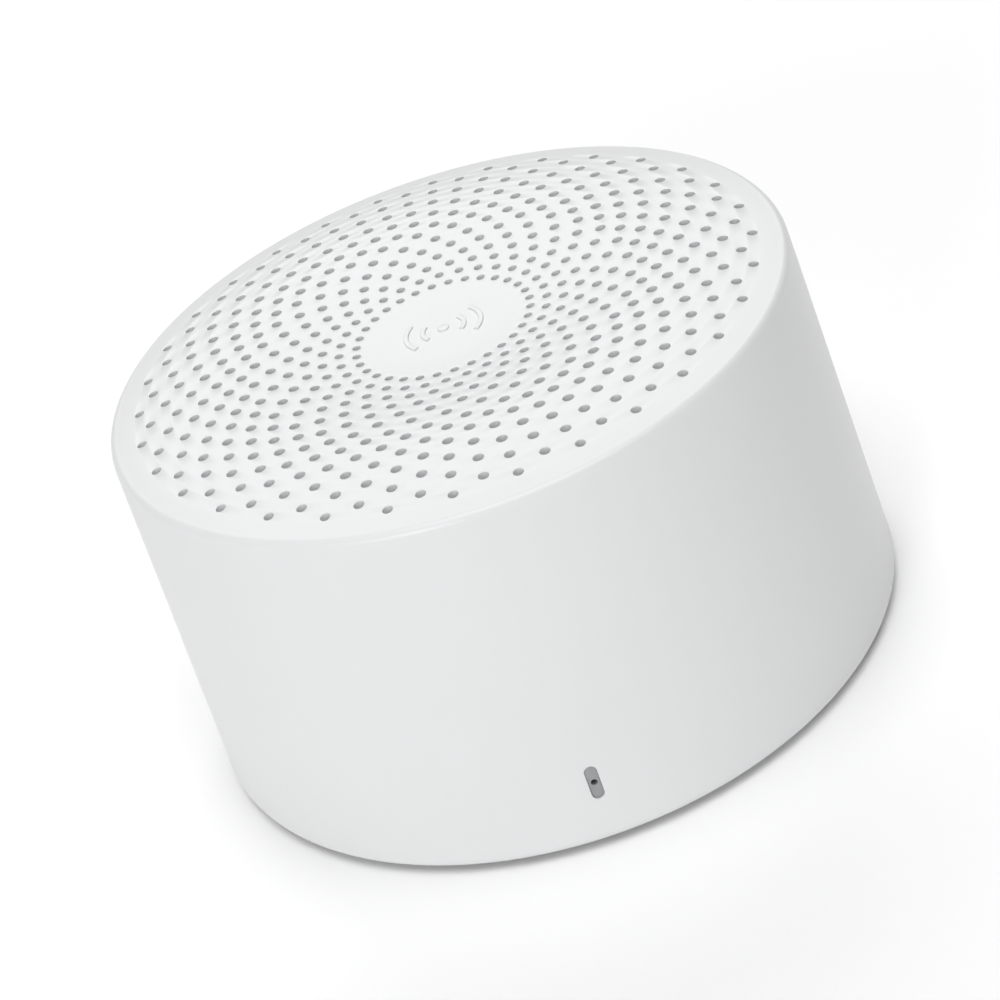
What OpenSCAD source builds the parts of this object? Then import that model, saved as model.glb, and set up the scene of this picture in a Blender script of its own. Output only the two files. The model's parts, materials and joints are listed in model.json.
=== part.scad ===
// Palm-size round smart speaker: a moulded housing with a perforated top face,
// an upward-firing driver in a sealed chamber, a battery, a control board and a
// base with a foot ring and a push button.
// Millimetres, +Z up. The origin is on the surface that the speaker stands on,
// at the middle of the body. The status window faces -Y and the charging port +Y.

/* [Body] */
// Outer diameter of the housing at its lower edge
body_d = 58.7; // [52:0.1:72]
// How much narrower the top rim is than the lower edge, on the diameter
body_taper = 2.3; // [0:0.1:4]
// Height of the housing from its lower edge to the crest of the top face
body_h = 31.9; // [31.6:0.1:45]
// Thickness of the side wall
wall_t = 1.6; // [1.3:0.1:2]
// Thickness of the top face at its centre
face_t = 1.4; // [1:0.1:2]
// Radius of the rounding round the top rim
rim_round = 0.6; // [0.3:0.1:1]
// Radius of the rounding round the lower edge
edge_round = 1; // [0.3:0.1:1.2]

/* [Top face] */
// Radius of the flat middle of the dished top face
dish_r = 3.6; // [2:0.1:5]
// Radius of the crest that runs round the top face
crest_r = 18.3; // [14:0.1:20]
// Height of the crest above the flat middle
crest_h = 0.86; // [0.2:0.02:1.2]
// Drop from the crest to the rim
rim_drop = 0.85; // [0.2:0.05:1.2]
// Height that the emblem stands above the flat middle
emblem_h = 0.12; // [0.08:0.01:0.3]

/* [Grille holes] */
// Holes in each ring
ring_holes = 32; // [24:1:34]
// Radius of the innermost ring
ring_first_r = 7.25; // [6:0.05:8]
// Evenly spaced rings before the paired rings start
plain_rings = 6; // [2:1:6]
// Radial distance between the evenly spaced rings
ring_pitch = 1.4; // [1.2:0.05:1.6]
// Radial distance between the two rings of a pair
pair_gap = 1; // [0.95:0.05:1.2]
// Radial distance from one pair to the next, before it is fitted to the face
pair_pitch = 2.2; // [2:0.05:3]
// How much closer together the inner pairs stand, as a share
pair_crowding = 0.07; // [0:0.01:0.2]
// Distance from the outermost ring to the outside of the rim
grille_margin = 2.7; // [2.5:0.05:4]
// Diameter of the holes in the innermost ring
hole_d_first = 0.7; // [0.5:0.02:0.8]
// Diameter of the largest holes
hole_d_most = 0.9; // [0.7:0.02:0.9]
// Ring that has the largest holes, counted from 0
hole_ring_most = 9; // [6:1:12]

/* [Base and foot] */
// Distance that the foot ring stands below the housing
foot_proud = 0.5; // [0.3:0.1:1]
// Distance from the housing's lower edge up to the base plate
base_inset = 0.3; // [0.1:0.1:0.6]
// Thickness of the base plate
base_t = 1.8; // [1.6:0.1:2.4]
// Depth of the groove that the foot ring sits in
foot_seat = 0.8; // [0.5:0.1:0.9]
// Radial width of the foot ring
foot_w = 5.2; // [4.6:0.1:6]
// Depth of the snap groove in the housing wall
snap_depth = 0.4; // [0.2:0.05:0.6]
// Number of snap lugs round the base plate
snap_lugs = 6; // [4:2:8]

/* [Power button] */
// Diameter of the button face
button_d = 12; // [9:0.5:14]
// Width of the ledge that keeps the button in the base plate
button_ledge = 1; // [0.8:0.1:1.4]
// Thickness of the button's inner flange
button_flange_t = 0.6; // [0.5:0.1:0.8]
// Travel of the button
button_travel = 0.3; // [0.2:0.05:0.4]
// Distance from the standing surface to the button face
button_lift = 0.5; // [0.4:0.1:0.7]

/* [Control board] */
// Height of the board's underside above the base plate
board_lift = 2; // [1.8:0.1:2.6]
// Thickness of the board
board_t = 1; // [0.8:0.1:1.2]
// Side of the push switch under the board
switch_side = 4.5; // [4:0.1:6]
// Diameter of the switch's plunger
plunger_d = 2; // [1.6:0.1:2.4]

/* [Status window] */
// Width of the window
window_w = 0.9; // [0.8:0.05:1.6]
// Height of the window
window_h = 3; // [2:0.1:3.2]
// Height of the window's centre above the board
window_rise = 0.5; // [0.3:0.1:0.8]
// Diameter of the microphone port in the window
mic_port_d = 0.5; // [0.4:0.05:0.7]
// Diameter of the microphone capsule
mic_d = 4; // [3.5:0.1:4.5]

/* [Charging port] */
// Width of the socket's shell
usb_w = 7.5; // [7:0.1:8]
// Height of the socket's shell
usb_h = 2.5; // [2.4:0.1:3]
// Length of the socket's shell
usb_l = 5.4; // [5:0.1:6]
// Clearance between the socket's shell and the cut-out in the housing
port_gap = 0.45; // [0.2:0.05:0.6]
// Distance from the outside of the housing in to the socket's mouth
port_recess = 0.6; // [0.2:0.1:1]

/* [Battery] */
// Thickness of the cell
battery_t = 5; // [4:0.1:5.2]
// Gap between the cell and the tops of the board's components
battery_clear = 1.9; // [1.7:0.1:2.2]

/* [Chamber] */
// Wall and floor thickness of the chamber
chamber_t = 1.2; // [1:0.1:1.5]
// Thickness of the baffle that carries the driver
baffle_t = 1.6; // [1.4:0.1:2]
// Radial width from the driver's edge to the edge of the baffle
baffle_w = 6.5; // [5.5:0.1:7.5]
// Space between the top face and the shoulder that stops the baffle
front_gap = 2.4; // [2.2:0.1:3]
// Diameter of the legs that stand on the base plate
leg_d = 4.4; // [4:0.1:5]

/* [Driver] */
// Thickness of the basket's flange
flange_t = 0.8; // [0.6:0.1:1]
// Radial width of the basket's flange
flange_w = 2.8; // [2.4:0.1:3.4]
// Depth of the driver below its flange
driver_depth = 12.8; // [12.4:0.1:13]
// Outer radius of the yoke
yoke_r = 10; // [9.6:0.1:10.6]
// Thickness of the yoke's wall
yoke_wall = 1.5; // [1.2:0.1:1.8]
// Thickness of the magnet
magnet_t = 3; // [2.5:0.1:3.2]
// Thickness of the pole plate
pole_t = 1.7; // [1.4:0.1:2]
// Radius of the pole plate
pole_r = 7.1; // [6.8:0.1:7.2]
// Travel of the cone each way
cone_travel = 1; // [0.5:0.1:1.2]
// Radial width of the surround's roll
roll_w = 3.4; // [2.6:0.1:3.6]

/* [Screws] */
// Thread diameter of the base screws
base_screw_d = 2; // [1.6:0.1:2.3]
// Thread diameter of the board and driver screws
small_screw_d = 1.6; // [1.4:0.1:1.8]

/* [Hidden] */
$fn = 72;
fit_gap = 0.1;   // clearance where one fixed piece drops into another
slip = 0.05;     // radial clearance of a screw or plunger in its hole
cloth_t = 0.2;
tape_t = 0.3;
guard_t = 1;
gasket_t = 0.5;
sheet_t = 0.35;  // cone, spider and surround skin
wire_d = 0.9;
e = 0.01;        // overshoot of a cut past a face

edge_r = body_d / 2;
rim_r = (body_d - body_taper) / 2;
edge_z = foot_proud;
top_z = edge_z + body_h;
rim_z = top_z - rim_drop;
ceiling_z = top_z - crest_h - face_t;
shoulder_z = ceiling_z - front_gap;

base_z0 = edge_z + base_inset;
base_z1 = base_z0 + base_t;
board_z0 = base_z1 + board_lift;
board_z1 = board_z0 + board_t;
window_z = board_z1 + window_rise;
usb_z = board_z1 + usb_h / 2;
battery_z0 = board_z1 + battery_clear;
battery_z1 = battery_z0 + battery_t;
floor_z0 = battery_z1 + tape_t;
floor_z1 = floor_z0 + chamber_t;
baffle_z1 = shoulder_z - gasket_t;
baffle_z0 = baffle_z1 - baffle_t;
flange_z1 = baffle_z1 + flange_t;

// Outer radius of the housing's side at a height, and the radius inside its wall
function side_r(z) = edge_r - (edge_r - rim_r) * (z - edge_z) / (rim_z - edge_z);
function inner_r(z) = side_r(z) - wall_t;

upper_r = rim_r - grille_margin + hole_d_most / 2 + 0.15;
baffle_r = inner_r(shoulder_z) - 0.15;
chamber_r = baffle_r - 0.6;
leg_r = chamber_r - leg_d / 2 - 0.3;
leg_xy = leg_r * cos(45);
leg_z0 = base_z1 + 1.6;
board_r = leg_r - leg_d / 2 - 0.3;
driver_r = baffle_r - baffle_w;
seat_r = driver_r - flange_w;
mouth_y = side_r(usb_z) - port_recess;
usb_back_y = mouth_y - usb_l;
window_y = side_r(window_z) - 0.15;
battery_w = 2 * (leg_xy - leg_d / 2 - 0.5);
battery_l = 2 * (usb_back_y - 5);
post_x = battery_w / 2 + 3.15;
post_d = 4;
plug_r = post_x + 1.2;
foot_outer_r = leg_r + foot_w / 2 - 0.1;
foot_inner_r = leg_r - foot_w / 2 - 0.1;
base_r = inner_r(base_z1) - 0.15;

// Rings of grille holes
last_ring_r = rim_r - grille_margin;
pair_first_r = ring_first_r + plain_rings * ring_pitch;
pair_span = last_ring_r - pair_gap - pair_first_r;
pair_steps = max(1, round(pair_span / pair_pitch));
ring_count = plain_rings + 2 * (pair_steps + 1);
function pair_r(t) = pair_first_r + pair_span * t * (1 - pair_crowding * (1 - t));
function ring_r(k) = k < plain_rings
    ? ring_first_r + k * ring_pitch
    : pair_r(floor((k - plain_rings) / 2) / pair_steps) + (k - plain_rings) % 2 * pair_gap;
function hole_d(k) = hole_d_most
    - (hole_d_most - hole_d_first) * pow((k - hole_ring_most) / hole_ring_most, 2);

// Height of the top face at a radius: a flat middle, a rise to the crest, a fall to the rim
function face_z(r) = r <= dish_r ? top_z - crest_h
    : r <= crest_r ? top_z - crest_h * (1 + cos(180 * (r - dish_r) / (crest_r - dish_r))) / 2
    : top_z - rim_drop * pow((r - crest_r) / (rim_r - rim_round - crest_r), 2);

// Points of an arc from angle a to angle b
function arc(centre, r, a, b, steps = 6) =
    [for (i = [0:steps]) let (w = a + (b - a) * i / steps) centre + r * [cos(w), sin(w)]];

// Node to build, or all of them

// ---- shared shapes ----

module ring(r_out, r_in, z0, z1) {
    translate([0, 0, z0]) difference() {
        cylinder(r = r_out, h = z1 - z0);
        translate([0, 0, -1]) cylinder(r = r_in, h = z1 - z0 + 2);
    }
}

module disc(r, z0, z1) {
    translate([0, 0, z0]) cylinder(r = r, h = z1 - z0);
}

// Upright slot or rod with round ends, its outline in XZ, running along +Y from y0 to y1
module upright_pill(w, h, y0, y1) {
    translate([0, y0, 0]) rotate([-90, 0, 0]) linear_extrude(y1 - y0) {
        square([w, h - w], center = true);
        for (s = [-1, 1]) translate([0, s * (h - w) / 2]) circle(d = w);
    }
}

module block(size, at) {
    translate([at[0] - size[0] / 2, at[1] - size[1] / 2, at[2]]) cube(size);
}

module at_legs() {
    for (a = [45:90:315]) rotate(a) translate([leg_r, 0, 0]) children();
}

module at_board_posts() {
    for (x = [-post_x, post_x], y = [-1.5, 6.5]) translate([x, y, 0]) children();
}

module at_driver_screws() {
    for (a = [45:90:315]) rotate(a) translate([driver_r + 1, 0, 0]) children();
}

// Pan-head screw whose head bears at z = 0 and whose thread points along +Z
module screw(d, l, head_d, head_t) {
    difference() {
        union() {
            translate([0, 0, -head_t]) cylinder(d = head_d, h = head_t);
            cylinder(d = d, h = l - d / 2);
            translate([0, 0, l - d / 2]) cylinder(d1 = d, d2 = d / 4, h = d / 2);
        }
        for (a = [0, 90]) rotate(a)
            translate([-head_d * 0.3, -0.15, -head_t - e]) cube([head_d * 0.6, 0.3, head_t * 0.5]);
    }
}

// Round wire swept along a list of points
function unit(v) = v / norm(v);
function heading(p, i) = unit(p[min(i + 1, len(p) - 1)] - p[max(i - 1, 0)]);
function side_of(n, t) = unit(n - (n * t) * t);
function sides_along(p, i, n) = i >= len(p) ? []
    : let (m = side_of(n, heading(p, i))) concat([m], sides_along(p, i + 1, m));
function spline(a, b, c, d, t) = 0.5 * (2 * b + (c - a) * t
    + (2 * a - 5 * b + 4 * c - d) * t * t + (3 * b - a - 3 * c + d) * t * t * t);
function smooth(p, steps = 5) = [
    for (i = [0:len(p) - 2], s = [0:steps - 1])
        spline(p[max(i - 1, 0)], p[i], p[i + 1], p[min(i + 2, len(p) - 1)], s / steps),
    p[len(p) - 1],
];

module wire(stops, d, corners = 8) {
    p = smooth(stops);
    n = sides_along(p, 0, [0.31, 0.52, 0.79]);
    last = (len(p) - 1) * corners;
    polyhedron(
        points = [for (i = [0:len(p) - 1], s = [0:corners - 1])
            let (b = cross(heading(p, i), n[i]), w = 360 * s / corners)
            p[i] + d / 2 * (cos(w) * n[i] + sin(w) * b)],
        faces = concat(
            [[for (s = [0:corners - 1]) s]],
            [for (i = [0:len(p) - 2], s = [0:corners - 1])
                let (a = i * corners + s, b = i * corners + (s + 1) % corners)
                [a, a + corners, b + corners, b]],
            [[for (s = [corners - 1:-1:0]) last + s]]
        )
    );
}

// ---- housing ----

module housing_section() {
    slope = atan((edge_r - rim_r) / (rim_z - edge_z));
    middles = [for (k = [0:ring_count - 2]) (ring_r(k) + ring_r(k + 1)) / 2];
    face = concat([0, dish_r, ring_first_r - 0.6], middles, [last_ring_r + 0.5]);
    groove_z = base_z1 + 0.6;
    polygon(concat(
        [for (r = face) [r, face_z(r)]],
        arc([rim_r - rim_round, rim_z - rim_round], rim_round, 90, slope),
        arc([edge_r - edge_round, edge_z + edge_round], edge_round, slope, -90),
        [
            [inner_r(edge_z), edge_z],
            [inner_r(groove_z), groove_z],
            [inner_r(groove_z) + snap_depth, groove_z + snap_depth],
            [inner_r(groove_z) + snap_depth, groove_z + snap_depth + 0.6],
            [inner_r(groove_z), groove_z + 2 * snap_depth + 0.6],
            [inner_r(shoulder_z), shoulder_z],
            [upper_r, shoulder_z],
            [upper_r, ceiling_z],
            [0, ceiling_z],
        ]
    ));
}

module grille_holes() {
    for (k = [0:ring_count - 1], i = [0:ring_holes - 1])
        rotate((i + k % 2 / 2) * 360 / ring_holes) translate([ring_r(k), 0, ceiling_z - 1])
            cylinder(d = hole_d(k), h = top_z - ceiling_z + 2, $fn = 24);
}

// A dot between two pairs of arcs
module emblem() {
    z = face_z(0) - 0.1;
    h = emblem_h + 0.1;
    translate([0, 0, z]) {
        cylinder(r = 0.5, h = h);
        for (side = [0, 180], r = [1.5, 2.9]) rotate(side - 38)
            rotate_extrude(angle = 76) translate([r, 0]) square([0.45, h]);
    }
}

module housing() {
    color("whitesmoke") difference() {
        union() {
            rotate_extrude() housing_section();
            emblem();
        }
        grille_holes();
        translate([0, 0, window_z])
            upright_pill(window_w + fit_gap, window_h + fit_gap, -edge_r - 1, -inner_r(window_z) + 1);
        translate([0, 0, usb_z]) port_cut();
    }
}

module port_cut() {
    w = usb_w + 2 * port_gap;
    h = usb_h + 2 * port_gap;
    rotate([90, 0, 0]) rotate([0, 0, 90]) translate([0, 0, -edge_r - 1])
        linear_extrude(edge_r + 1 - inner_r(usb_z) + 1) {
            square([h, w - h], center = true);
            for (s = [-1, 1]) translate([0, s * (w - h) / 2]) circle(d = h);
        }
}

module dust_cloth() {
    color("dimgray") ring(upper_r - fit_gap, 2, ceiling_z - cloth_t, ceiling_z);
}

// Window lens: a pill that fills the slot, and a pad that lies on the inside of the wall
module light_guide() {
    pad_z0 = base_z1 + 1.3 + 2 * snap_depth;
    pad_z1 = window_z + window_h / 2 + 0.8;
    color("darkgray") difference() {
        union() {
            translate([0, 0, window_z])
                upright_pill(window_w, window_h, -window_y, -inner_r(window_z) + 0.8);
            rotate(-94) rotate_extrude(angle = 8) polygon([
                [inner_r(pad_z0), pad_z0], [inner_r(pad_z1), pad_z1],
                [inner_r(pad_z1) - 0.7, pad_z1], [inner_r(pad_z1) - 0.7, pad_z0],
            ]);
        }
        translate([0, -edge_r, window_z]) rotate([-90, 0, 0]) cylinder(d = mic_port_d, h = 6);
    }
}

// ---- base ----

boss_d = leg_d + 0.6;
counter_z = base_z1 + 0.4;
counter_d = base_screw_d + 2;
foot_z1 = base_z0 + foot_seat;

module base_plate() {
    color("white") difference() {
        union() {
            disc(base_r, base_z0, base_z1);
            at_legs() translate([0, 0, base_z1 - 0.2]) cylinder(d = boss_d, h = leg_z0 - base_z1 + 0.2);
            at_board_posts() translate([0, 0, base_z1 - 0.2])
                cylinder(d = post_d, h = board_z0 - base_z1 + 0.2);
            for (a = [0:360 / snap_lugs:359]) rotate(a - 7) snap_lug();
        }
        ring(foot_outer_r + fit_gap, foot_inner_r - fit_gap, base_z0 - 1, foot_z1);
        translate([0, 0, base_z0 - 1]) cylinder(d = button_d + 0.3, h = base_t + 2);
        at_legs() {
            translate([0, 0, base_z0]) cylinder(d = counter_d, h = counter_z - base_z0);
            cylinder(d = base_screw_d + 2 * slip, h = leg_z0 + 1);
        }
        at_board_posts() translate([0, 0, base_z1 - 0.6])
            cylinder(d = small_screw_d + 2 * slip, h = board_lift + 2);
    }
}

module snap_lug() {
    z = base_z1 + 0.7;
    r = inner_r(z) - 0.15;
    rotate_extrude(angle = 14) polygon([
        [base_r - 1.2, base_z1 - 0.2], [base_r - 0.1, base_z1 - 0.2], [r, z],
        [r + snap_depth, z + snap_depth], [r + snap_depth, z + snap_depth + 0.4],
        [r, z + 2 * snap_depth + 0.4], [base_r - 1.2, z + 2 * snap_depth + 0.4],
    ]);
}

module foot_ring() {
    color("silver") rotate_extrude() polygon(concat(
        [[foot_inner_r, foot_z1]],
        arc([foot_inner_r + 0.4, 0.4], 0.4, 180, 270),
        arc([foot_outer_r - 0.4, 0.4], 0.4, 270, 360),
        [[foot_outer_r, foot_z1]]
    ));
}

module base_screws() {
    color("gray") at_legs() translate([0, 0, counter_z])
        screw(base_screw_d, 6.5, counter_d - 0.4, 1);
}

// ---- power button and switch ----

switch_h = 0.8;
switch_z0 = board_z0 - switch_h;
plunger_z0 = switch_z0 - button_travel;
flange_top = base_z1 + button_flange_t;

// Cap with a dished face, an inner flange and a stem that meets the plunger
module power_button() {
    r = button_d / 2;
    color("white") difference() {
        rotate_extrude() polygon(concat(
            arc([r - 0.4, button_lift + 0.4], 0.4, -90, 0),
            [
                [r, base_z1], [r + button_ledge, base_z1], [r + button_ledge, flange_top],
                [plunger_d / 2 + 0.4, flange_top], [plunger_d / 2 + 0.2, plunger_z0],
                [0, plunger_z0],
                [0, button_lift + 0.2],
            ],
            [for (i = [1:5]) [r * 0.13 * i, button_lift + 0.2 - 0.008 * i * i]]
        ));
        ring(r - 0.9, r - 1.2, button_lift - 1, button_lift + 0.15);
    }
}

module switch_body() {
    color("black") difference() {
        union() {
            block([switch_side, switch_side, switch_h], [0, 0, switch_z0]);
            for (s = [-1, 1])
                block([0.7, switch_side + 1.6, 0.2], [s * switch_side / 3, 0, board_z0 - 0.2]);
        }
        translate([0, 0, switch_z0 - 1]) cylinder(d = plunger_d + 2 * slip, h = switch_h + 2);
    }
}

module switch_plunger() {
    color("ivory") disc(plunger_d / 2, plunger_z0, board_z0 - button_travel - 0.05);
}

// ---- chamber ----

lead_y = 2.5;
grommet_d = 3.2;

module rear_chamber() {
    color("dimgray") difference() {
        union() {
            rotate_extrude() polygon(concat(
                [[0, floor_z1], [0, floor_z0]],
                arc([chamber_r - 1, floor_z0 + 1], 1, -90, 0),
                [[chamber_r, baffle_z0], [chamber_r - chamber_t, baffle_z0],
                    [chamber_r - chamber_t, floor_z1]]
            ));
            at_legs() translate([0, 0, leg_z0]) cylinder(d = leg_d, h = floor_z0 - leg_z0 + 0.5);
        }
        at_legs() translate([0, 0, leg_z0 - 1]) cylinder(d = base_screw_d + 2 * slip, h = 7.2);
        translate([-plug_r, lead_y, floor_z0 - 1]) cylinder(d = grommet_d, h = chamber_t + 2);
    }
}

module baffle() {
    rib_r = chamber_r - chamber_t - fit_gap;
    color("slategray") difference() {
        union() {
            ring(baffle_r, seat_r + fit_gap, baffle_z0, baffle_z1);
            ring(rib_r, rib_r - 1.2, baffle_z0 - 1, baffle_z0 + 0.1);
        }
        at_driver_screws() translate([0, 0, baffle_z0 - 1])
            cylinder(d = small_screw_d + 2 * slip, h = baffle_t + 2);
    }
}

module frame_gasket() {
    color("black") ring(baffle_r - fit_gap, upper_r - 1.4, baffle_z1, shoulder_z);
}

// Damping foam on the chamber floor, open towards -X where the leads run
module chamber_foam() {
    color("darkslategray") rotate(-150) rotate_extrude(angle = 300)
        translate([yoke_r + 2, floor_z1]) square([chamber_r - chamber_t - yoke_r - 3, 2.5]);
}

// ---- driver ----

motor_z0 = flange_z1 - flange_t - driver_depth;
magnet_z0 = motor_z0 + 1.5;
pole_z0 = magnet_z0 + magnet_t;
pole_z1 = pole_z0 + pole_t;
basket_z0 = pole_z1 - 2;
ledge_z = basket_z0 + 3.2;
former_r = pole_r + 0.6;
spider_r = 13.2;
spider_rise = cone_travel + 0.2;
roll_r1 = seat_r + 0.2;
roll_r0 = roll_r1 - roll_w;
cone_r = roll_r0 - 0.1;
cone_z = flange_z1 - cone_travel - 0.1;
neck_z = ledge_z + 2.3;
cone_t = 0.4;
// Height of the cone's back and front faces at a radius
cone_lip_r = roll_r0 - 1.2;
function cone_back(r) = neck_z + (cone_z - sheet_t - neck_z) * (r - former_r) / (cone_lip_r - former_r);
function cone_front(r) = neck_z + cone_t
    + (cone_z - neck_z - cone_t) * (r - former_r) / (cone_lip_r - 0.2 - former_r);

module basket() {
    color("gainsboro") difference() {
        rotate_extrude() polygon([
            [yoke_r + slip, basket_z0], [13.4, basket_z0], [13.4, ledge_z - 0.9], [14.3, ledge_z - 0.2],
            [seat_r - 0.1, baffle_z1 - 0.8], [seat_r - 0.1, baffle_z1], [driver_r, baffle_z1],
            [driver_r, flange_z1], [seat_r - 0.7, flange_z1], [seat_r - 0.7, baffle_z1],
            [spider_r + 0.2, ledge_z], [12, ledge_z], [12, ledge_z - 0.8], [12.5, ledge_z - 1.2],
            [12.5, basket_z0 + 0.8], [yoke_r + slip, basket_z0 + 0.8],
        ]);
        for (a = [0:60:300]) rotate(a - 14) rotate_extrude(angle = 28) polygon([
            [12.4, ledge_z + 0.7], [20, ledge_z + 0.7], [20, baffle_z1 - 1], [12.4, baffle_z1 - 1],
        ]);
    }
}

// Half roll that drops from the lip on the basket to the lip on the cone
function roll_z(t) = flange_z1 + (cone_z - flange_z1) * t + 0.8 * sin(180 * t);
module surround() {
    steps = [0:0.1:1.001];
    up = [for (t = steps) [roll_r1 - roll_w * t, roll_z(t)]];
    color("black") rotate_extrude() polygon(concat(
        [[driver_r - 1, flange_z1]], up, [[cone_lip_r, cone_z], [cone_lip_r, cone_z + sheet_t]],
        [for (i = [len(up) - 1:-1:0]) up[i] + [0, sheet_t]],
        [[driver_r - 1, flange_z1 + sheet_t]]
    ));
}

function spider_z(t) = ledge_z + spider_rise * t + 0.22 * sin(1080 * t);
module spider() {
    n = 24;
    low = [for (i = [0:n]) [spider_r - 1 - (spider_r - 1 - former_r) * i / n, spider_z(i / n)]];
    color("goldenrod") rotate_extrude() polygon(concat(
        [[spider_r, ledge_z]], low, [for (i = [n:-1:0]) low[i] + [0, 0.25]],
        [[spider_r, ledge_z + 0.25]]
    ));
}

module cone() {
    color("darkslategray") rotate_extrude() polygon([
        [former_r, neck_z], [cone_lip_r, cone_z - sheet_t], [cone_r, cone_z - sheet_t], [cone_r, cone_z],
        [cone_lip_r - 0.2, cone_z], [former_r, neck_z + cone_t],
    ]);
}

// Dome whose skirt lies on the cone's front face
module dust_cap() {
    r = former_r + 1.3;
    skirt_r = former_r + 0.9;
    dome_h = 1.3;
    color("dimgray") rotate_extrude() polygon(concat(
        [[skirt_r, cone_front(skirt_r)], [r, cone_front(r)], [r, cone_front(r) + 0.1]],
        [for (i = [9:-1:0]) [r * i / 10, cone_front(r) + 0.1 + dome_h * cos(9 * i)]],
        [for (i = [0:9]) [skirt_r * i / 9.4, cone_front(r) - 0.2 + dome_h * cos(9.4 * i)]]
    ));
}

module coil_former() {
    color("peru") ring(former_r, former_r - 0.15, pole_z0 - 0.4, neck_z + cone_t);
}

module voice_coil() {
    color("orangered") ring(former_r + 0.45, former_r, pole_z0 - 0.3, pole_z1 + 0.4);
}

module pole_plate() {
    color("silver") disc(pole_r, pole_z0, pole_z1);
}

module magnet() {
    color("lightgray") disc(pole_r - 0.2, magnet_z0, pole_z0);
}

module yoke() {
    color("darkgray") rotate_extrude() polygon([
        [0, motor_z0], [yoke_r + 0.1, motor_z0], [yoke_r + 0.6, motor_z0 + 0.5],
        [yoke_r + 0.6, basket_z0], [yoke_r, basket_z0], [yoke_r, pole_z1],
        [yoke_r - yoke_wall, pole_z1], [yoke_r - yoke_wall, magnet_z0], [0, magnet_z0],
    ]);
}

strip_z = basket_z0 + 0.6;
module terminal_strip() {
    color("tan") difference() {
        union() {
            block([2.2, 7, 1.4], [-14, 0, strip_z]);
            for (y = [-1.8, 1.8]) block([1, 1.4, 2], [-14.6, y, strip_z - 0.3]);
        }
        disc(13.4, strip_z - 1, strip_z + 3);
    }
}

module tinsel_leads() {
    color("chocolate") for (y = [-1.8, 1.8]) wire([
        [-14.6, y, strip_z + 1.7], [-15.9, y, ledge_z], [-16.2, y, ledge_z + 1.5],
        [-15.3, y, ledge_z + 2.9], [-13.6, y, ledge_z + 3.5], [-12, y, cone_back(12) - 0.1],
    ], 0.35, 6);
}

module driver_screws() {
    color("gray") at_driver_screws() translate([0, 0, flange_z1]) rotate([180, 0, 0])
        screw(small_screw_d, flange_t + baffle_t - 0.2, 3.2, 0.9);
}

// ---- leads and plugs ----

header_z1 = board_z1 + 2.4;
plug_z1 = board_z1 + 3.2;

module header(x) {
    difference() {
        block([3.6, 4, header_z1 - board_z1], [x, lead_y, board_z1]);
        block([2.8, 3.2, 3], [x, lead_y, board_z1 + 0.5]);
    }
}

module plug(x) {
    difference() {
        block([2.7, 3.1, plug_z1 - board_z1 - 0.5], [x, lead_y, board_z1 + 0.5]);
        for (s = [-0.75, 0.75]) translate([x, lead_y + s, plug_z1 - 0.6]) cylinder(d = 1, h = 2);
    }
}

module speaker_header() { color("ivory") header(-plug_r); }
module battery_header() { color("ivory") header(plug_r); }
module speaker_plug() { color("white") plug(-plug_r); }
module battery_plug() { color("white") plug(plug_r); }

module speaker_leads() {
    color("black") for (s = [-1, 1]) wire([
        [-15.1 - wire_d / 2, s * 1.8, strip_z + 0.5], [-16.8, s * 1.4 + 0.4, strip_z - 0.6],
        [-plug_r, lead_y + s * 0.75, floor_z1 + 2.4], [-plug_r, lead_y + s * 0.75, floor_z1],
        [-plug_r, lead_y + s * 0.75, floor_z0 - 2], [-plug_r, lead_y + s * 0.75, plug_z1 - 0.6],
    ], wire_d);
}

module lead_grommet() {
    color("black") translate([-plug_r, lead_y, 0]) difference() {
        union() {
            disc(grommet_d / 2 - 0.05, floor_z0 - 0.1, floor_z1 + 0.1);
            disc(grommet_d / 2 + 0.5, floor_z1, floor_z1 + 0.6);
            disc(grommet_d / 2 + 0.4, floor_z0 - 0.5, floor_z0);
        }
        for (s = [-0.75, 0.75]) translate([0, s, floor_z0 - 2]) cylinder(d = wire_d + 0.15, h = 6);
    }
}

module battery_lead(s) {
    wire([
        for (x = [0, 0.4, 0.8]) [battery_w / 2 + guard_t + x, lead_y + s * 2.2, battery_z0 + 3.2],
        [plug_r, lead_y + s * 0.9, battery_z0 + 3], [plug_r, lead_y + s * 0.75, plug_z1 + 0.6],
        [plug_r, lead_y + s * 0.75, plug_z1 - 0.6],
    ], wire_d);
}

module battery_lead_plus() { color("red") battery_lead(1); }
module battery_lead_minus() { color("black") battery_lead(-1); }

// ---- battery ----

module battery_cell() {
    r = battery_t * 0.3;
    color("silver") translate([0, battery_l / 2, battery_z0 + battery_t / 2]) rotate([90, 0, 0])
        linear_extrude(battery_l) {
            square([battery_w, battery_t - 2 * r], center = true);
            square([battery_w - 2 * r, battery_t], center = true);
            for (x = [-1, 1], y = [-1, 1])
                translate([x * (battery_w / 2 - r), y * (battery_t / 2 - r)]) circle(r);
        }
}

module battery_tape() {
    color("white") block([battery_w - 6, battery_l - 6, tape_t], [0, 0, battery_z1]);
}

module battery_guard() {
    color("green")
        block([guard_t, 14, 2.4], [(battery_w + guard_t) / 2, lead_y, battery_z0 + battery_t / 2 - 0.9]);
}

// ---- control board ----

tongue_w = 11;
board_end = sqrt(pow(inner_r(board_z0), 2) - pow(tongue_w / 2, 2)) - 0.3;

module main_board() {
    color("darkgreen") translate([0, 0, board_z0]) linear_extrude(board_t) difference() {
        union() {
            circle(board_r);
            translate([-tongue_w / 2, 0]) square([tongue_w, board_end]);
            translate([-3.5, -window_y + 3.4]) square([7, window_y - 3.4]);
        }
        at_board_posts() circle(d = small_screw_d + 2 * slip);
    }
}

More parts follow.
